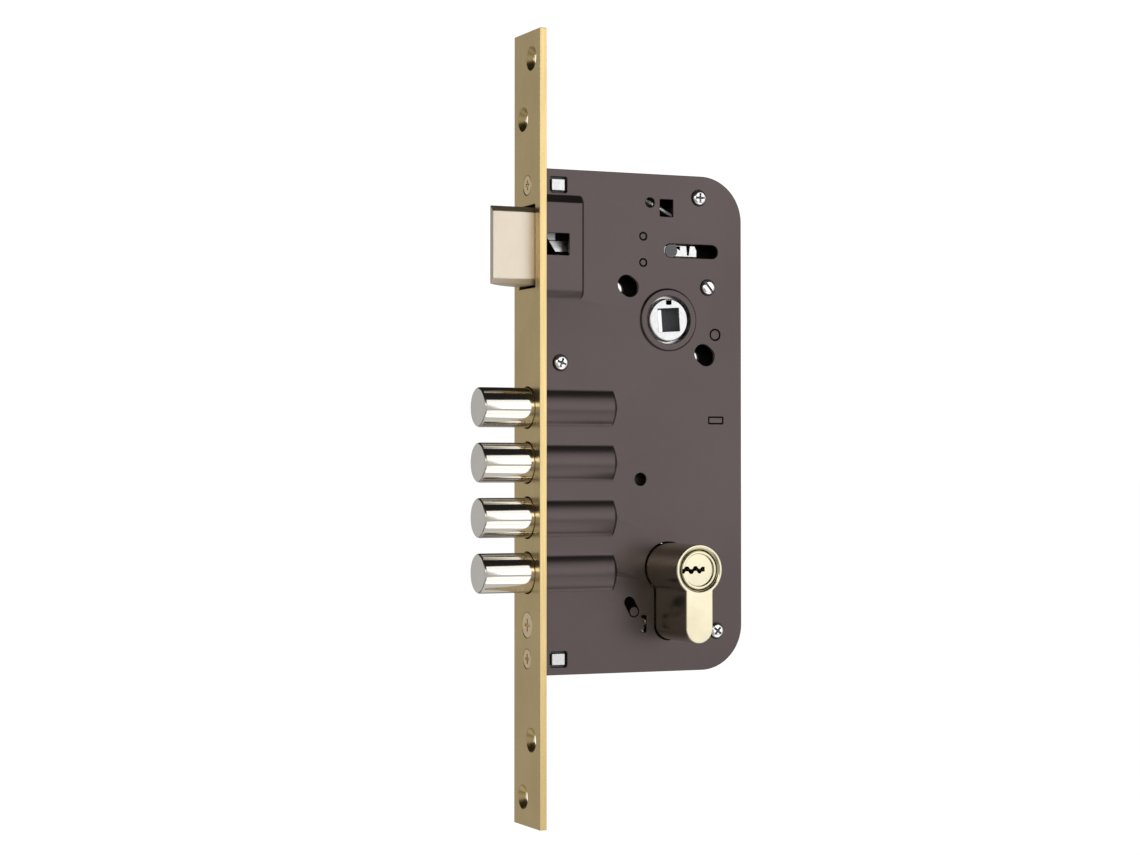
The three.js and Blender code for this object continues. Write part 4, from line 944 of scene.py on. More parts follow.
    def build_cover(self) -> None:
        """Makes the cover."""
        y0 = -self.half - self.latch_boss_rise - 3 * self.sheet
        outside = self.pressed(-1, 0, *self.whole(1), 0)
        inside = self.pressed(-1, self.sheet, *self.whole(3), self.half)
        keep = Solid.prism(Axis.Y, self.outline(0), y0, self.half)
        collar = self.collar(-1)
        body = outside.join(collar).common(keep)
        body = body.cut(inside, *self.common_openings(y0, 1), *self.cover_openings(y0, 1))
        cover = Piece("case_cover_fine", ROOT, CASE_PAINT, ("case_cover",), self.edge, 2, 50).make(body)
        # Painted shade: the walls of the follower's hole get the dark colour, for the shadow in the gap round
        # the follower.
        cover.data.materials.append(HOLE_SHADE.material())
        for face in cover.data.polygons:
            away = math.hypot(face.center.x / MM - self.axis_x, face.center.z / MM)
            if away < self.hub_hole_r + self.wall_gap and abs(face.normal.y) < 0.1:
                face.material_index = 1

    def build_tray(self) -> None:
        """Makes the tray with its rim."""
        y1 = self.half + self.latch_boss_rise + 3 * self.sheet
        outside = self.pressed(1, 0, *self.whole(1), self.rim_near)
        inside = self.pressed(1, self.sheet, *self.whole(3), -self.half)
        room = Solid.prism(Axis.Y, self.outline(self.sheet), -2 * self.half, y1)
        room = room.common(Solid.box((self.front + self.sheet, self.back), (-y1, y1), (self.low, self.top)))
        keep = Solid.prism(Axis.Y, self.outline(0), -y1, y1)
        collar = self.collar(1)
        places = [(Span.of(name).xz, self.tenon_r) for name in (*PILLARS, "spring_post")]
        places += [
            (pin.xz, pin.size.x / 2 + self.rivet_gap)
            for pin in map(Span.of, ("bolt_guide_pin", "detainer_pin", "stop_pin"))
        ]
        tenons = [Solid.bar(Axis.Y, at, r, 0, y1) for at, r in places]
        wall_end = self.front + self.sheet + BEYOND
        screws = [
            Solid.bar(Axis.X, (0, Span.of(name).middle.z), r, self.front - BEYOND, wall_end)
            for name, r in (
                ("faceplate_screw_upper", self.face_screw_bore_r),
                ("faceplate_screw_lower", self.face_screw_bore_r),
                ("cylinder_screw", self.cylinder_screw_bore_r),
            )
        ]
        body = outside.join(collar).common(keep)
        body = body.cut(inside.common(room), *self.mouths(), *self.common_openings(0, y1), *tenons, *screws)
        Piece("case_tray_fine", ROOT, CASE_PAINT, ("case_tray",), self.edge, 2, 50).make(body)

    def build(self) -> None:
        """Makes both halves of the case."""
        self.build_cover()
        self.build_tray()


@dataclass
class Lug:
    """A threaded lug behind the faceplate, with a tab that shows in the case's windows."""

    node: str
    tab_front: float = 6.5
    tab_length: float = 4.8
    tab_half: float = 1.95
    side: float = 4.6
    edge_gap: float = 0.1
    bore_r: float = 1.9

    def tab(self) -> tuple[float, float, float, float]:
        """The tab's reach: lowest and highest X, then lowest and highest Z."""
        lug = Span.of(self.node)
        z = lug.middle.z
        return (self.tab_front, self.tab_front + self.tab_length, z - self.tab_half, z + self.tab_half)

    def build(self) -> None:
        """Makes the lug."""
        lug = Span.of(self.node)
        x0, x1, z0, z1 = self.tab()
        tab = Solid.box((x0, x1), lug.y(), (z0, z1))
        body = Solid.box(lug.x(), (-self.side, self.side), lug.z()).join(tab)
        bore = Solid.bar(Axis.X, (0, lug.middle.z), self.bore_r, lug.low.x - BEYOND, lug.high.x + BEYOND)
        made = Piece(self.node + "_fine", ROOT, ZINC, (self.node,), 0.25, 3).make(body.cut(bore))
        # Painted shade: the lug's body and bore inside the case get the dark colour, while the tab in the
        # window keeps the zinc.
        made.data.materials.append(HOLE_SHADE.material())
        for face in made.data.polygons:
            if abs(face.center.y) < (self.side + self.edge_gap) * MM:
                face.material_index = 1


@dataclass
class Bolt:
    """A round deadbolt with its riveted tang."""

    node: str
    behind: float = 11.4
    tang_r: float = 2.8
    rivet_r: float = 3.9
    rivet_length: float = 1.2
    chamfer: float = 0.55

    def build(self) -> None:
        """Makes the bolt, polished round its side and faced at its tip."""
        box = Span.of(self.node)
        r = box.size.z / 2
        tip, end = box.low.x, box.high.x
        rivet = end - self.rivet_length
        profile = [
            (0, tip),
            (r - self.chamfer, tip),
            (r - 0.12, tip + self.chamfer * 0.6),
            (r, tip + self.chamfer + 0.25),
            (r, self.behind - 0.4),
            (r - 0.4, self.behind),
            (self.tang_r, self.behind),
            (self.tang_r, rivet),
            (self.rivet_r, rivet),
            (self.rivet_r, end - 0.5),
            (self.rivet_r - 0.9, end),
            (0, end),
        ]
        body = Solid.turned(Axis.X, (0, box.middle.z), profile, FINE)
        made = Piece(self.node + "_fine", "bolts", POLISHED_NICKEL, (self.node,), 0.12, 2, 25).make(body)
        made.data.materials.append(TIP_NICKEL.material())
        for face in made.data.polygons:
            if face.normal.x < -0.95 and face.center.x < (tip + 0.3) * MM:
                face.material_index = 1


@dataclass
class Latch:
    """The sprung latch: its head, the strap behind it and the strap's pin."""

    half: float = 6.7
    nose: float = 2.5
    bevel_end: float = -1.5
    bevel_bend: Point = (-9.0, 4.0)
    hook_length: float = 1.8
    strap_half: float = 1.9
    pocket_gap: float = 0.08
    chamfer: float = 1.9
    head_back: float = 1.7
    shank_half: float = 4.5
    shank_height: float = 19.4
    pin_r: float = 1.9
    pin_neck_r: float = 1.5

    def plan(self) -> Outline:
        """The head's outline from above, with its curved bevel on the far side."""
        out = Span.of("latch_head").low.x
        made = Outline().to(out, -self.half).to(self.head_back, -self.half).to(self.head_back, self.half)
        made.to(self.bevel_end, self.half)
        steps = 14
        bend = Vector(self.bevel_bend)
        start, end = Vector((self.bevel_end, self.half)), Vector((out, -self.half + self.nose))
        for i in range(1, steps + 1):
            t = i / steps
            p = start * (1 - t) ** 2 + bend * 2 * t * (1 - t) + end * t * t
            made.to(p.x, p.y)
        return made

    def build_head(self) -> None:
        """Makes the head and its shank."""
        box = Span.of("latch_head")
        low, high = box.low.z, box.high.z
        c = self.chamfer
        section = Outline().to(-self.half, low + c).to(-self.half + c, low).to(self.half, low)
        section.to(self.half, high).to(-self.half + c, high).to(-self.half, high - c)
        head = Solid.prism(Axis.Z, self.plan(), low, high)
        head = head.common(Solid.prism(Axis.X, section, box.low.x - BEYOND, self.head_back + BEYOND))
        z = box.middle.z
        shank = Solid.box(
            (self.head_back - BEYOND, box.high.x),
            (-self.shank_half, self.shank_half),
            (z - self.shank_height / 2, z + self.shank_height / 2),
        )
        tail = Span.of("latch_tail")
        gap = self.pocket_gap
        hook = tail.low.x + self.hook_length + gap
        strap_half = self.strap_half + gap
        near = -self.half
        pocket = [
            Solid.box((tail.low.x - gap, hook), (near, tail.high.y + gap), tail.z(gap)),
            Solid.box(
                (tail.low.x, box.high.x + BEYOND),
                (near, tail.high.y + gap),
                (tail.middle.z - strap_half, tail.middle.z + strap_half),
            ),
        ]
        piece = Piece("latch_head_fine", "latch", LATCH_NICKEL, ("latch_head",), 0.3, 3)
        made = piece.make(head.join(shank).cut(*pocket))
        made.data.materials.append(DULL_STEEL.material())
        for face in made.data.polygons:
            if face.center.x > self.head_back * MM:
                face.material_index = 1

    def build_tail(self) -> None:
        """Makes the strap and its pin."""
        flat = Piece("latch_tail_fine", "latch", ZINC, ("latch_tail",), 0.12, 2, 35)
        flat.make(Solid.copy_of("latch_tail"))
        pin = Span.of("tail_pin")
        r = pin.size.x / 2
        strap = Span.of("latch_tail")
        step = strap.high.y + 0.1
        profile = [
            (0, pin.low.y),
            (r, pin.low.y),
            (r, strap.low.y - 0.05),
            (self.pin_neck_r, strap.low.y - 0.05),
            (self.pin_neck_r, step),
            (self.pin_r, step),
            (self.pin_r, pin.high.y),
            (0, pin.high.y),
        ]
        Piece("tail_pin_fine", "latch", DARK_STEEL, ("tail_pin",), 0.05, 1).make(
            Solid.turned(Axis.Y, pin.xz, profile)
        )

    def build(self) -> None:
        """Makes every piece of the latch."""
        self.build_head()
        self.build_tail()


@dataclass
class Follower:
    """The follower that the handle's spindle turns."""

    r: float = 7.35
    flange_r: float = 9.6
    flange_half: float = 4.4
    square: float = 8.0
    tilt: float = -4.0
    notch_width: float = 1.8
    notch_depth: float = 2.0
    arm_reach: float = 24.0
    arm_rest: float = -7.0
    arm_nose_r: float = 2.3
    arm_half: float = 1.6
    arm_root: float = 4.0
    lobe_reach: float = 11.5
    lobe_angle: float = 108.0
    lobe_r: float = 1.8

    def finger(self, reach: float, root: float, nose: float, turn: float, at: Point) -> Solid:
        """An arm that stands out of the barrel and is turned to its place."""
        shape = Outline().to(at[0] - root, self.r - 1)
        shape.to(at[0] - nose, reach)
        shape.arc(at[0], reach, nose, 180, 0, 24)
        shape.to(at[0] + root, self.r - 1)
        return Solid.prism(Axis.Y, shape, -self.arm_half, self.arm_half).rotated(turn, Axis.Y, at)

    def build(self) -> None:
        """Makes the follower."""
        box = Span.of("follower_hub")
        end = box.high.y
        at = (Span.of("plug_outer").middle.x, 0.0)
        chamfer = 0.35
        barrel = Solid.turned(
            Axis.Y,
            at,
            [
                (0, -end),
                (self.r - chamfer, -end),
                (self.r, -end + chamfer),
                (self.r, -self.flange_half),
                (self.flange_r, -self.flange_half),
                (self.flange_r, self.flange_half),
                (self.r, self.flange_half),
                (self.r, end - chamfer),
                (self.r - chamfer, end),
                (0, end),
            ],
            FINE,
        )
        arm = self.finger(self.arm_reach, self.arm_root, self.arm_nose_r, self.arm_rest, at)
        lobe = self.finger(self.lobe_reach, self.lobe_r, self.lobe_r, self.lobe_angle, at)
        half = self.square / 2
        through = (-end - BEYOND, end + BEYOND)
        square = Solid.box((at[0] - half, at[0] + half), through, (-half, half))
        square = square.rotated(self.tilt, Axis.Y, at)
        n = self.notch_width / 2
        notch = Solid.prism(
            Axis.Y,
            Outline.rounded(at[0] - n, at[0] + n, self.r - self.notch_depth, self.r + BEYOND, 0.3),
            -end - BEYOND,
            -self.flange_half - 0.3,
        )
        body = barrel.join(arm, lobe).cut(square, notch)
        made = Piece("follower_hub_fine", "follower", ZINC, ("follower_hub",), 0.18, 2).make(body)
        # Painted shade: the flange, arm, lobe and square hole's walls get the dark colour, for the shadow in
        # the gap round the barrel and in the hole.
        made.data.materials.append(HOLE_SHADE.material())
        wall = math.hypot(half, half)
        for face in made.data.polygons:
            away = math.hypot(face.center.x / MM - at[0], face.center.z / MM - at[1])
            if away > self.r + 0.2 or (away < wall and abs(face.normal.y) < 0.1):
                face.material_index = 1


@dataclass
class Cylinder:
    """The double euro-profile cylinder."""

    r: float = 8.5
    neck: float = 10.0
    height: float = 33.0
    bore_gap: float = 0.25
    face_bevel: float = 0.75
    slot_half: float = 5.2
    cam_reach: float = 14.8
    waist_r: float = 5.0
    nose_r: float = 3.8
    key_left: float = -6.3
    key_right: float = 2.4
    key_thick: float = 1.55
    cam_gap: float = 0.3
    cam_tooth_half: float = 3.75
    cam_tooth_root: float = 5.0
    cam_ring_r: float = 8.0
    cam_bore_r: float = 4.1
    screw_hole_r: float = 2.5
    key_swing: float = 0.5
    key_depth: float = 21.0
    recess: float = 0.3

    def centre(self) -> Point:
        """The plug's axis in X and Z."""
        return Span.of("plug_outer").xz

    def profile(self, y0: float, y1: float, grow: float) -> Solid:
        """The euro profile about the plug's axis, from y0 to y1, grown by a clearance."""
        x, z = self.centre()
        r, half = self.r + grow, self.neck / 2 + grow
        foot = z + self.r - self.height + self.neck / 2
        meet = math.degrees(math.asin(half / r))
        shape = Outline().arc(x, z, r, -90 + meet, 270 - meet, FINE)
        shape.arc(x, foot, half, 180, 360, 32)
        return Solid.prism(Axis.Y, shape, y0, y1)

    def build_body(self) -> None:
        """Makes the body with its bore, cam slot and screw hole."""
        box = Span.of("cylinder_body")
        at = self.centre()
        end = box.high.y
        bore = Span.of("plug_outer").size.x / 2 + self.bore_gap
        b = self.face_bevel
        hollow = [
            (0, -end - BEYOND),
            (bore + b + BEYOND, -end - BEYOND),
            (bore, -end + b),
            (bore, end - b),
            (bore + b + BEYOND, end + BEYOND),
            (0, end + BEYOND),
        ]
        wide = self.r + BEYOND
        floor = at[1] - self.cam_reach - self.cam_gap
        depth = (-self.slot_half, self.slot_half)
        slot = Solid.box((at[0] - wide, at[0] + wide), depth, (floor, at[1] + wide))
        screw = Span.of("cylinder_screw")
        hole = Solid.bar(Axis.X, (0, screw.middle.z), self.screw_hole_r, at[0] - wide, at[0] + wide)
        body = self.profile(-end, end, 0).cut(Solid.turned(Axis.Y, at, hollow, FINE), slot, hole)
        Piece("cylinder_body_fine", ROOT, CYLINDER_BRASS, ("cylinder_body",), 0.35, 3, 40).make(body)

    def keyway(self, side: int, face: float) -> Solid:
        """The keyway's cutter: a narrow band that zigzags across the plug."""
        x, z = self.centre()
        half, swing = self.key_thick / 2, self.key_swing
        stops = [
            (0.0, -0.6), (0.12, -0.6), (0.18, 0.8), (0.3, 0.8), (0.38, -1), (0.48, -1),
            (0.56, 1), (0.66, 1), (0.74, -0.8), (0.82, -0.8), (0.88, 0.5), (1.0, 0.5),
        ]
        span = self.key_right - self.key_left
        line = [(x + self.key_left + span * t, z + swing * s) for t, s in stops]
        shape = Outline()
        for a, b in line:
            shape.to(a, b - half)
        for a, b in reversed(line):
            shape.to(a, b + half)
        y = sorted((side * (face - self.key_depth), side * (face + BEYOND)))
        return Solid.prism(Axis.Y, shape, y[0], y[1])

    def build_plug(self, node: str, side: int) -> None:
        """Makes one plug.

        Args:
            node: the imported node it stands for.
            side: -1 for the cover side, 1 for the tray side.
        """
        box = Span.of(node)
        r = box.size.x / 2
        face = max(abs(box.low.y), abs(box.high.y))
        nose = min(abs(box.low.y), abs(box.high.y))
        at = self.centre()
        dish = 0.8
        points = [
            (0, face - dish),
            (r - 1.15, face - dish),
            (r - 0.9, face),
            (r - 0.3, face),
            (r, face - 0.3),
            (r, self.slot_half + 0.1),
            (self.waist_r, self.slot_half + 0.1),
            (self.waist_r, 4.25),
            (self.nose_r, 4.25),
            (self.nose_r, nose),
            (0, nose),
        ]
        body = Solid.turned(Axis.Y, at, [(a, side * b) for a, b in points], FINE)
        made = body.cut(self.keyway(side, face))
        Piece(node + "_fine", "key_core", CYLINDER_BRASS, (node,), 0.08, 2, 28).make(made)

    def build_clip(self, node: str) -> None:
        """Makes one of the clips that keep the plugs in."""
        box = Span.of(node)
        x, z = self.centre()
        outer = box.size.x / 2
        ring = Solid.ring(Axis.Y, (x, z), (5.3, outer), box.low.y, box.high.y)
        gap = Solid.box((x - 2.5, x + 2.5), box.y(BEYOND), (z, z + outer + BEYOND))
        Piece(node + "_fine", "key_core", DARK_STEEL, (node,), 0.08, 1).make(ring.cut(gap))

    def build_cam(self) -> None:
        """Makes the cam between the plugs."""
        box = Span.of("cylinder_cam")
        x, z = self.centre()
        half = self.cam_tooth_half
        tooth = Solid.box((x - half, x + half), box.y(), (z - self.cam_reach, z - self.cam_tooth_root))
        tooth = tooth.common(Solid.bar(Axis.Y, (x, z), self.cam_reach, box.low.y - 1, box.high.y + 1, FINE))
        ring = Solid.bar(Axis.Y, (x, z), self.cam_ring_r, box.low.y, box.high.y, FINE)
        bore = Solid.bar(Axis.Y, (x, z), self.cam_bore_r, box.low.y - 1, box.high.y + 1, FINE)
        piece = Piece("cylinder_cam_fine", "key_core", DARK_STEEL, ("cylinder_cam",), 0.2, 2)
        piece.make(ring.join(tooth).cut(bore))

    def build(self) -> None:
        """Makes every piece of the cylinder but its screw."""
        self.build_body()
        self.build_plug("plug_outer", -1)
        self.build_plug("plug_inner", 1)
        self.build_clip("plug_clip_outer")
        self.build_clip("plug_clip_inner")
        self.build_cam()


class Drive(Enum):
    """What turns a cover screw."""

    CROSS = "cross"
    SLOT = "slot"


@dataclass
class CoverScrew:
    """A small raised-head screw that holds the cover, over its pillar."""

    node: str
    pillar: str
    drive: Drive
    turn: float
    shank_r: float = 1.3
    head_height: float = 1.2
    width: float = 0.75
    span: float = 1.6
    depth: float = 0.8
    flat: float = 0.5
    crown: float = 0.6
    dark_reach: float = 0.9
    dark_from: float = 0.4
    dark_past: float = 0.1
    bore_gap: float = 0.3
    bore_end: float = 2.6

    def build(self) -> None:
        """Makes the screw and the pillar that it goes into."""
        box = Span.of(self.node)
        r = box.size.x / 2
        top = box.low.y
        seat = top + self.head_height
        at = box.xz
        flat, drop = r * self.flat, self.head_height * self.crown
        profile: list[Point] = [(0, top)]
        for step in range(8):
            turn = math.radians(90 * step / 7)
            profile.append((flat + (r - flat) * math.sin(turn), top + drop * (1 - math.cos(turn))))
        profile += [(r, seat), (self.shank_r, seat), (self.shank_r, box.high.y), (0, box.high.y)]
        body = Solid.turned(Axis.Y, at, profile)
        half = self.width / 2
        reach = r + BEYOND if self.drive is Drive.SLOT else self.span
        y = (top - BEYOND, top + self.depth)
        slots = [Solid.box((at[0] - reach, at[0] + reach), y, (at[1] - half, at[1] + half))]
        if self.drive is Drive.CROSS:
            slots.append(Solid.box((at[0] - half, at[0] + half), y, (at[1] - reach, at[1] + reach)))
        made = body.cut(*[s.rotated(self.turn, Axis.Y, at) for s in slots])
        screw = Piece(self.node + "_fine", ROOT, BRIGHT_SCREW, (self.node,), 0.06, 1, 40).make(made)
        # Painted shade: the floor and walls of the cross or slot get the dark colour, for the shadow inside
        # the recess.
        screw.data.materials.append(HOLE_SHADE.material())
        for face in screw.data.polygons:
            away = math.hypot(face.center.x / MM - at[0], face.center.z / MM - at[1])
            deep = face.center.y / MM - top
            sunk = self.depth * self.dark_from < deep < self.depth + self.dark_past
            if sunk and away < r * self.dark_reach:
                face.material_index = 1
        self.build_pillar()

    def build_pillar(self) -> None:
        """Makes the threaded pillar, with its tenon in the tray."""
        box = Span.of(self.pillar)
        at = box.xz
        r = box.size.x / 2
        post = -box.low.y
        profile = [(0, -post), (r, -post), (r, post), (TENON_R, post), (TENON_R, box.high.y), (0, box.high.y)]
        bore = Solid.bar(Axis.Y, at, self.shank_r + self.bore_gap, -post - BEYOND, self.bore_end)
        body = Solid.turned(Axis.Y, at, profile).cut(bore)
        Piece(self.pillar + "_fine", ROOT, DARK_STEEL, (self.pillar,), 0.15, 2).make(body)


@dataclass
class Pins:
    """The plain pins, rivets and lugs that cross the case."""

    edge: float = 0.18
    painted: tuple[str, ...] = ("guide_rivet_upper", "guide_rivet_lower", "spring_pin", "stop_pin")
    bare: tuple[str, ...] = ("bolt_guide_pin", "detainer_pin")

    def build_pin(self, node: str, finish: Finish) -> None:
        """Makes one round pin."""
        box = Span.of(node)
        body = Solid.bar(Axis.Y, box.xz, box.size.x / 2, box.low.y, box.high.y)
        Piece(node + "_fine", ROOT, finish, (node,), self.edge, 3).make(body)

    def build(self) -> None:
        """Makes all the pins, the guide lug and the spring post."""
        for node in self.painted:
            self.build_pin(node, CASE_PAINT)
        for node in self.bare:
            self.build_pin(node, DARK_STEEL)
        lug = Span.of("guide_lug")
        Piece("guide_lug_fine", ROOT, CASE_PAINT, ("guide_lug",), self.edge, 2).make(
            Solid.box(lug.x(), lug.y(), lug.z())
        )
        post = Span.of("spring_post")
        r, reach = post.size.x / 2, -post.low.y
        profile = [(0, -reach), (r, -reach), (r, reach), (TENON_R, reach)]
        profile += [(TENON_R, post.high.y), (0, post.high.y)]
        Piece("spring_post_fine", ROOT, DARK_STEEL, ("spring_post",), self.edge, 2).make(
            Solid.turned(Axis.Y, post.xz, profile)
        )


@dataclass
class Springs:
    """The wound wire springs, each a coil round its post with two legs."""

    steps_a_turn: int = 28
    wire_r: float = 0.6
    thin_wire_r: float = 0.42
    thin_wire_inset: float = 0.45
    post_gap: float = 0.3
    leg_slope: float = 26.0
    latch_turns: float = -3.32
    handle_turns: float = -2.25
    handle_reach: Point = (1.1, -0.8)
    detainer_turns: float = -0.75

    def coil(self, at: Point, r: float, y: Point, turns: float, start: float) -> list[Vector]:
        """Points of a helix about a post.

        Args:
            at: the post's centre in X and Z.
            r: the helix's radius.
            y: where it starts and ends along Y.
            turns: how many turns, against the clock seen from the cover when positive.
            start: the angle of its first point, in degrees.

        Returns:
            The points along the wire.
        """
        count = int(abs(turns) * self.steps_a_turn)
        made = []
        for i in range(count + 1):
            turn = math.radians(start + 360 * turns * i / count)
            along = y[0] + (y[1] - y[0]) * i / count
            made.append(Vector((at[0] + r * math.cos(turn), along, at[1] + r * math.sin(turn))))
        return made

    def wire(self, name: str, node: str, points: list[Vector], r: float) -> None:
        """Makes a wire through points, as a mesh."""
        curve = bpy.data.curves.new(name, "CURVE")
        curve.dimensions = "3D"
        curve.bevel_depth = r * MM
        curve.bevel_resolution = 3
        curve.use_fill_caps = True
        line = curve.splines.new("POLY")
        line.points.add(len(points) - 1)
        for spot, point in zip(line.points, points):
            spot.co = (*(point * MM), 1)
        scratch = bpy.data.objects.new(name + "_path", curve)
        bpy.context.scene.collection.objects.link(scratch)
        shown = scratch.evaluated_get(bpy.context.evaluated_depsgraph_get())
        made = bmesh.new()
        made.from_mesh(shown.to_mesh())
        shown.to_mesh_clear()
        bpy.data.objects.remove(scratch)
        bmesh.ops.remove_doubles(made, verts=made.verts, dist=1e-7)
        bmesh.ops.scale(made, vec=Vector((1 / MM,) * 3), verts=made.verts)
        Piece(name, ROOT, SPRING_WIRE, (node,), 0, 0, 60).make(Solid(made))

    def build(self) -> None:
        """Makes the latch's, the handle's and the detainer's springs."""
        post, whole = Span.of("spring_post"), Span.of("latch_spring")
        r = self.wire_r
        mean = post.size.x / 2 + self.post_gap + r
        near, far = whole.low.y + r, whole.high.y - r
        leg_x = whole.high.x - r
        slope = math.radians(self.leg_slope)
        touch = Vector((post.middle.x + mean * math.sin(slope), far, post.middle.z + mean * math.cos(slope)))
        bend_z = touch.z - (leg_x - touch.x) * math.tan(slope)
        points = [Vector((whole.low.x + r, near, whole.high.z - r))]
        points += self.coil(post.xz, mean, (near, far), self.latch_turns, 180)
        points += [Vector((leg_x - 1.2, far, bend_z + 0.6)), Vector((leg_x, far, bend_z - 0.8))]
        points += [Vector((leg_x, far, whole.low.z + r))]
        self.wire("latch_spring_fine", "latch_spring", points, r)

        hinge, hub = Span.of("spring_pin"), Span.of("handle_spring")
        mean = hinge.size.x / 2 + self.post_gap + r
        first, last = self.handle_reach
        points = [Vector((hub.high.x - r, first, hub.high.z - r))]
        points += self.coil(hinge.xz, mean, (first, last), self.handle_turns, 0)
        points += [Vector((hub.low.x + r, -0.2, hub.low.z + r))]
        self.wire("handle_spring_fine", "handle_spring", points, r)

        eye, leg = Span.of("detainer_pin"), Span.of("detainer_spring")
        thin = self.thin_wire_r
        y = leg.high.y - self.thin_wire_inset
        mean = eye.size.x / 2 + self.post_gap + thin
        points = [Vector((leg.high.x - thin, y, leg.high.z - thin))]
        points += self.coil(eye.xz, mean, (y, y), self.detainer_turns, 0)
        foot_x, foot_z = leg.low.x + thin, leg.low.z + thin
        points += [Vector((foot_x, y, foot_z)), Vector((foot_x, leg.low.y, foot_z))]
        self.wire("detainer_spring_fine", "detainer_spring", points, thin)


@dataclass
class Works:
    """The flat parts inside the case, with their edges eased."""

    pieces: tuple[Piece, ...] = (
        Piece("bolt_plate_fine", "bolts", DARK_STEEL, ("bolt_plate",), 0.12, 2, 40),
        Piece("detainer_fine", "detaining_lever", DARK_STEEL, ("detainer",), 0.12, 2, 40),
        Piece("latch_guide_fine", ROOT, DARK_STEEL, ("latch_guide",), 0.12, 2, 40),
    )

    def build(self) -> None:
        """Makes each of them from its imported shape."""
        for piece in self.pieces:
            piece.make(Solid.copy_of(piece.stands_for[0]))


# ---------- studio ----------


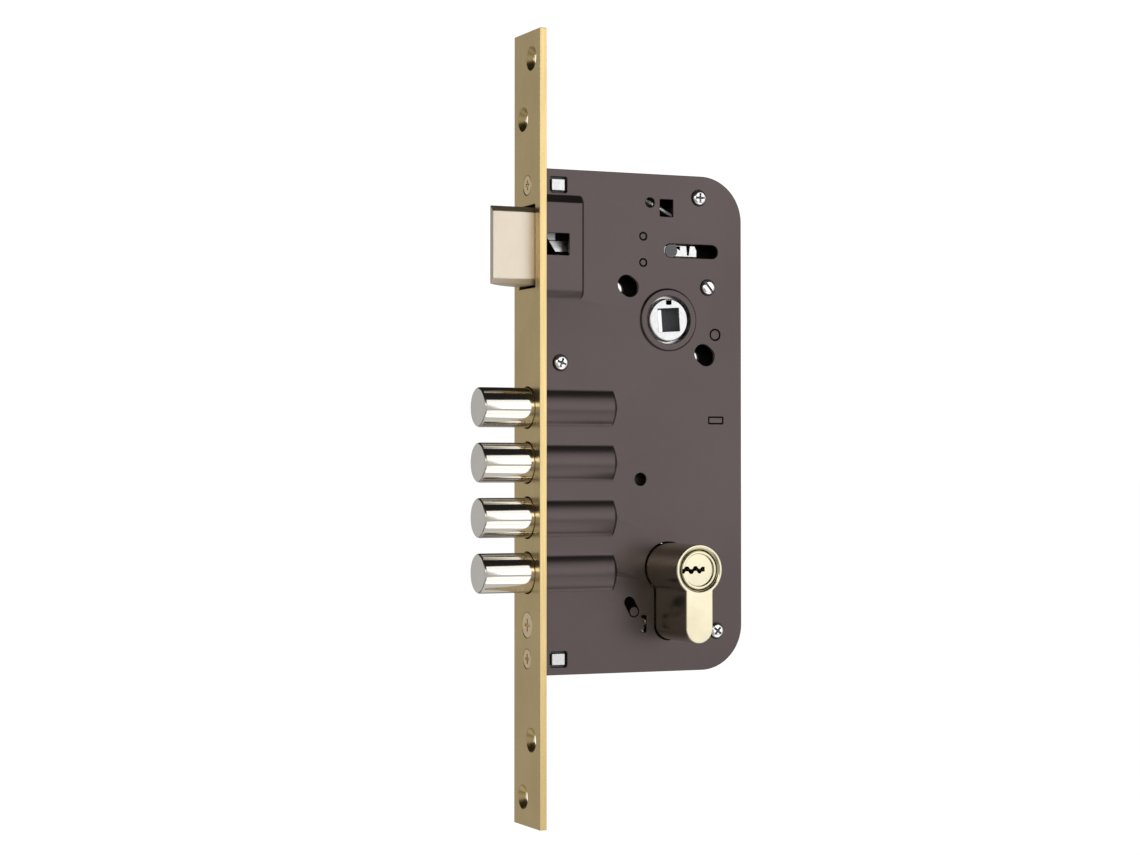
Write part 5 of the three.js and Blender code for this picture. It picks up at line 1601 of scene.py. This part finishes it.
@dataclass
class Studio:
    """The camera, the lights, the floor and the surroundings."""

    azimuth: float = -24.056
    elevation: float = -0.99
    distance: float = 840.0
    aim: tuple[float, float, float] = (-14.5, -0.5, 0.4)
    lens: float = 78.04
    sensor: float = 36.0

    def build_camera(self, centre: Vector) -> None:
        """Places the camera.

        Args:
            centre: the middle of the object's box, in metres.
        """
        a, e = math.radians(self.azimuth), math.radians(self.elevation)
        back = Vector((math.sin(a) * math.cos(e), -math.cos(a) * math.cos(e), math.sin(e)))
        data = bpy.data.cameras.new("camera")
        data.lens = self.lens
        data.sensor_width = self.sensor
        data.clip_start = 0.01
        data.clip_end = 100
        camera = bpy.data.objects.new("camera", data)
        camera.location = centre + Vector(self.aim) * MM + back * self.distance * MM
        camera.rotation_euler = (-back).to_track_quat("-Z", "Y").to_euler()
        bpy.context.scene.collection.objects.link(camera)
        bpy.context.scene.camera = camera

    def build_light(self, name: str, place: Vector, aim: Vector, size: Point, power: float) -> None:
        """Adds one soft rectangular light.

        Args:
            name: what it is called.
            place: where it stands, in metres.
            aim: the point it faces, in metres.
            size: its width and height, in metres.
            power: its power in watts.
        """
        data = bpy.data.lights.new(name, "AREA")
        data.shape = "RECTANGLE"
        data.size, data.size_y = size
        data.energy = power
        light = bpy.data.objects.new(name, data)
        light.location = place
        light.rotation_euler = (aim - place).to_track_quat("-Z", "Y").to_euler()
        bpy.context.scene.collection.objects.link(light)

    def build_floor(self, low: Vector) -> None:
        """Lays a plain pale floor under the object."""
        made = bmesh.new()
        bmesh.ops.create_grid(made, x_segments=1, y_segments=1, size=20)
        bmesh.ops.translate(made, verts=made.verts, vec=Vector((0, 0, low.z - 0.0005)))
        mesh = bpy.data.meshes.new("floor")
        made.to_mesh(mesh)
        floor = bpy.data.objects.new("floor", mesh)
        bpy.context.scene.collection.objects.link(floor)
        pale = bpy.data.materials.new("pale_floor")
        pale.use_nodes = True
        shader = pale.node_tree.nodes["Principled BSDF"]
        shader.inputs["Base Color"].default_value = (0.16, 0.16, 0.16, 1)
        shader.inputs["Roughness"].default_value = 0.9
        shader.inputs["Specular IOR Level"].default_value = 0.0
        shader.inputs["Emission Color"].default_value = (1, 1, 1, 1)
        shader.inputs["Emission Strength"].default_value = 1.0
        mesh.materials.append(pale)
        floor.visible_diffuse = False
        floor.visible_glossy = False
        floor.visible_shadow = False
        floor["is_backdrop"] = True

    def build_world(self) -> None:
        """Surrounds the object with light that is bright at eye level and dark overhead."""
        world = bpy.data.worlds.new("studio")
        world.use_nodes = True
        tree = world.node_tree
        tree.nodes.clear()
        out = tree.nodes.new("ShaderNodeOutputWorld")
        seen = tree.nodes.new("ShaderNodeBackground")
        seen.inputs["Color"].default_value = (1, 1, 1, 1)
        seen.inputs["Strength"].default_value = 1.05
        lit = tree.nodes.new("ShaderNodeBackground")
        place = tree.nodes.new("ShaderNodeTexCoord")
        split = tree.nodes.new("ShaderNodeSeparateXYZ")
        ramp = tree.nodes.new("ShaderNodeValToRGB")
        rise = tree.nodes.new("ShaderNodeMapRange")
        rise.inputs["From Min"].default_value = -1.0
        rise.inputs["From Max"].default_value = 1.0
        bands = ((0.0, 0.6), (0.13, 0.6), (0.2, 0.15), (0.34, 0.48), (0.62, 0.48), (0.74, 0.015))
        stops = ramp.color_ramp.elements
        while len(stops) < len(bands):
            stops.new(1.0)
        for stop, (height, level) in zip(stops, bands):
            stop.position = height
            stop.color = (level, level, level, 1)
        path = tree.nodes.new("ShaderNodeLightPath")
        mix = tree.nodes.new("ShaderNodeMixShader")
        links = tree.links
        links.new(place.outputs["Generated"], split.inputs["Vector"])
        links.new(split.outputs["Z"], rise.inputs["Value"])
        links.new(rise.outputs["Result"], ramp.inputs["Fac"])
        links.new(ramp.outputs["Color"], lit.inputs["Color"])
        links.new(path.outputs["Is Camera Ray"], mix.inputs["Fac"])
        links.new(lit.outputs["Background"], mix.inputs[1])
        links.new(seen.outputs["Background"], mix.inputs[2])
        links.new(mix.outputs["Shader"], out.inputs["Surface"])
        bpy.context.scene.world = world

    def build(self, low: Vector, high: Vector) -> None:
        """Sets the whole stage round the object's box."""
        centre = (low + high) / 2
        self.build_camera(centre)
        self.build_floor(low)
        self.build_world()
        self.build_light("key", centre + Vector((0.85, -1.4, 0.46)), centre, (1.5, 1.6), 9)
        self.build_light("under", centre + Vector((0.65, -1.05, -1.0)), centre, (1.4, 1.1), 5)
        self.build_light("front", centre + Vector((-0.36, -0.8, 0.22)), centre, (0.5, 0.24), 0.9)
        scene = bpy.context.scene
        scene.view_settings.view_transform = "Standard"
        scene.view_settings.look = "None"


def main() -> None:
    """Builds the lock's pieces in order and sets the stage."""
    logging.basicConfig(level=logging.INFO, format="%(name)s %(message)s")
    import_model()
    low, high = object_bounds()
    sections = [Faceplate(), Case(), Latch(), Follower(), Cylinder(), Pins(), Springs(), Works()]
    sections += [Bolt(name) for name in BOLTS]
    sections += [Lug("screw_lug_upper"), Lug("screw_lug_lower")]
    sections += [SunkScrew("faceplate_screw_upper", 1.6), SunkScrew("faceplate_screw_lower", 1.6)]
    sections += [SunkScrew("cylinder_screw", 2.2)]
    sections += [
        CoverScrew("cover_screw_top", "pillar_top", Drive.CROSS, 0),
        CoverScrew("cover_screw_front", "pillar_front", Drive.CROSS, 20),
        CoverScrew("cover_screw_bottom", "pillar_bottom", Drive.CROSS, 40),
        CoverScrew("cover_screw_slotted", "pillar_slotted", Drive.SLOT, 50),
    ]
    for section in sections:
        section.build()
    Studio().build(low, high)


if __name__ == "__main__":
    main()
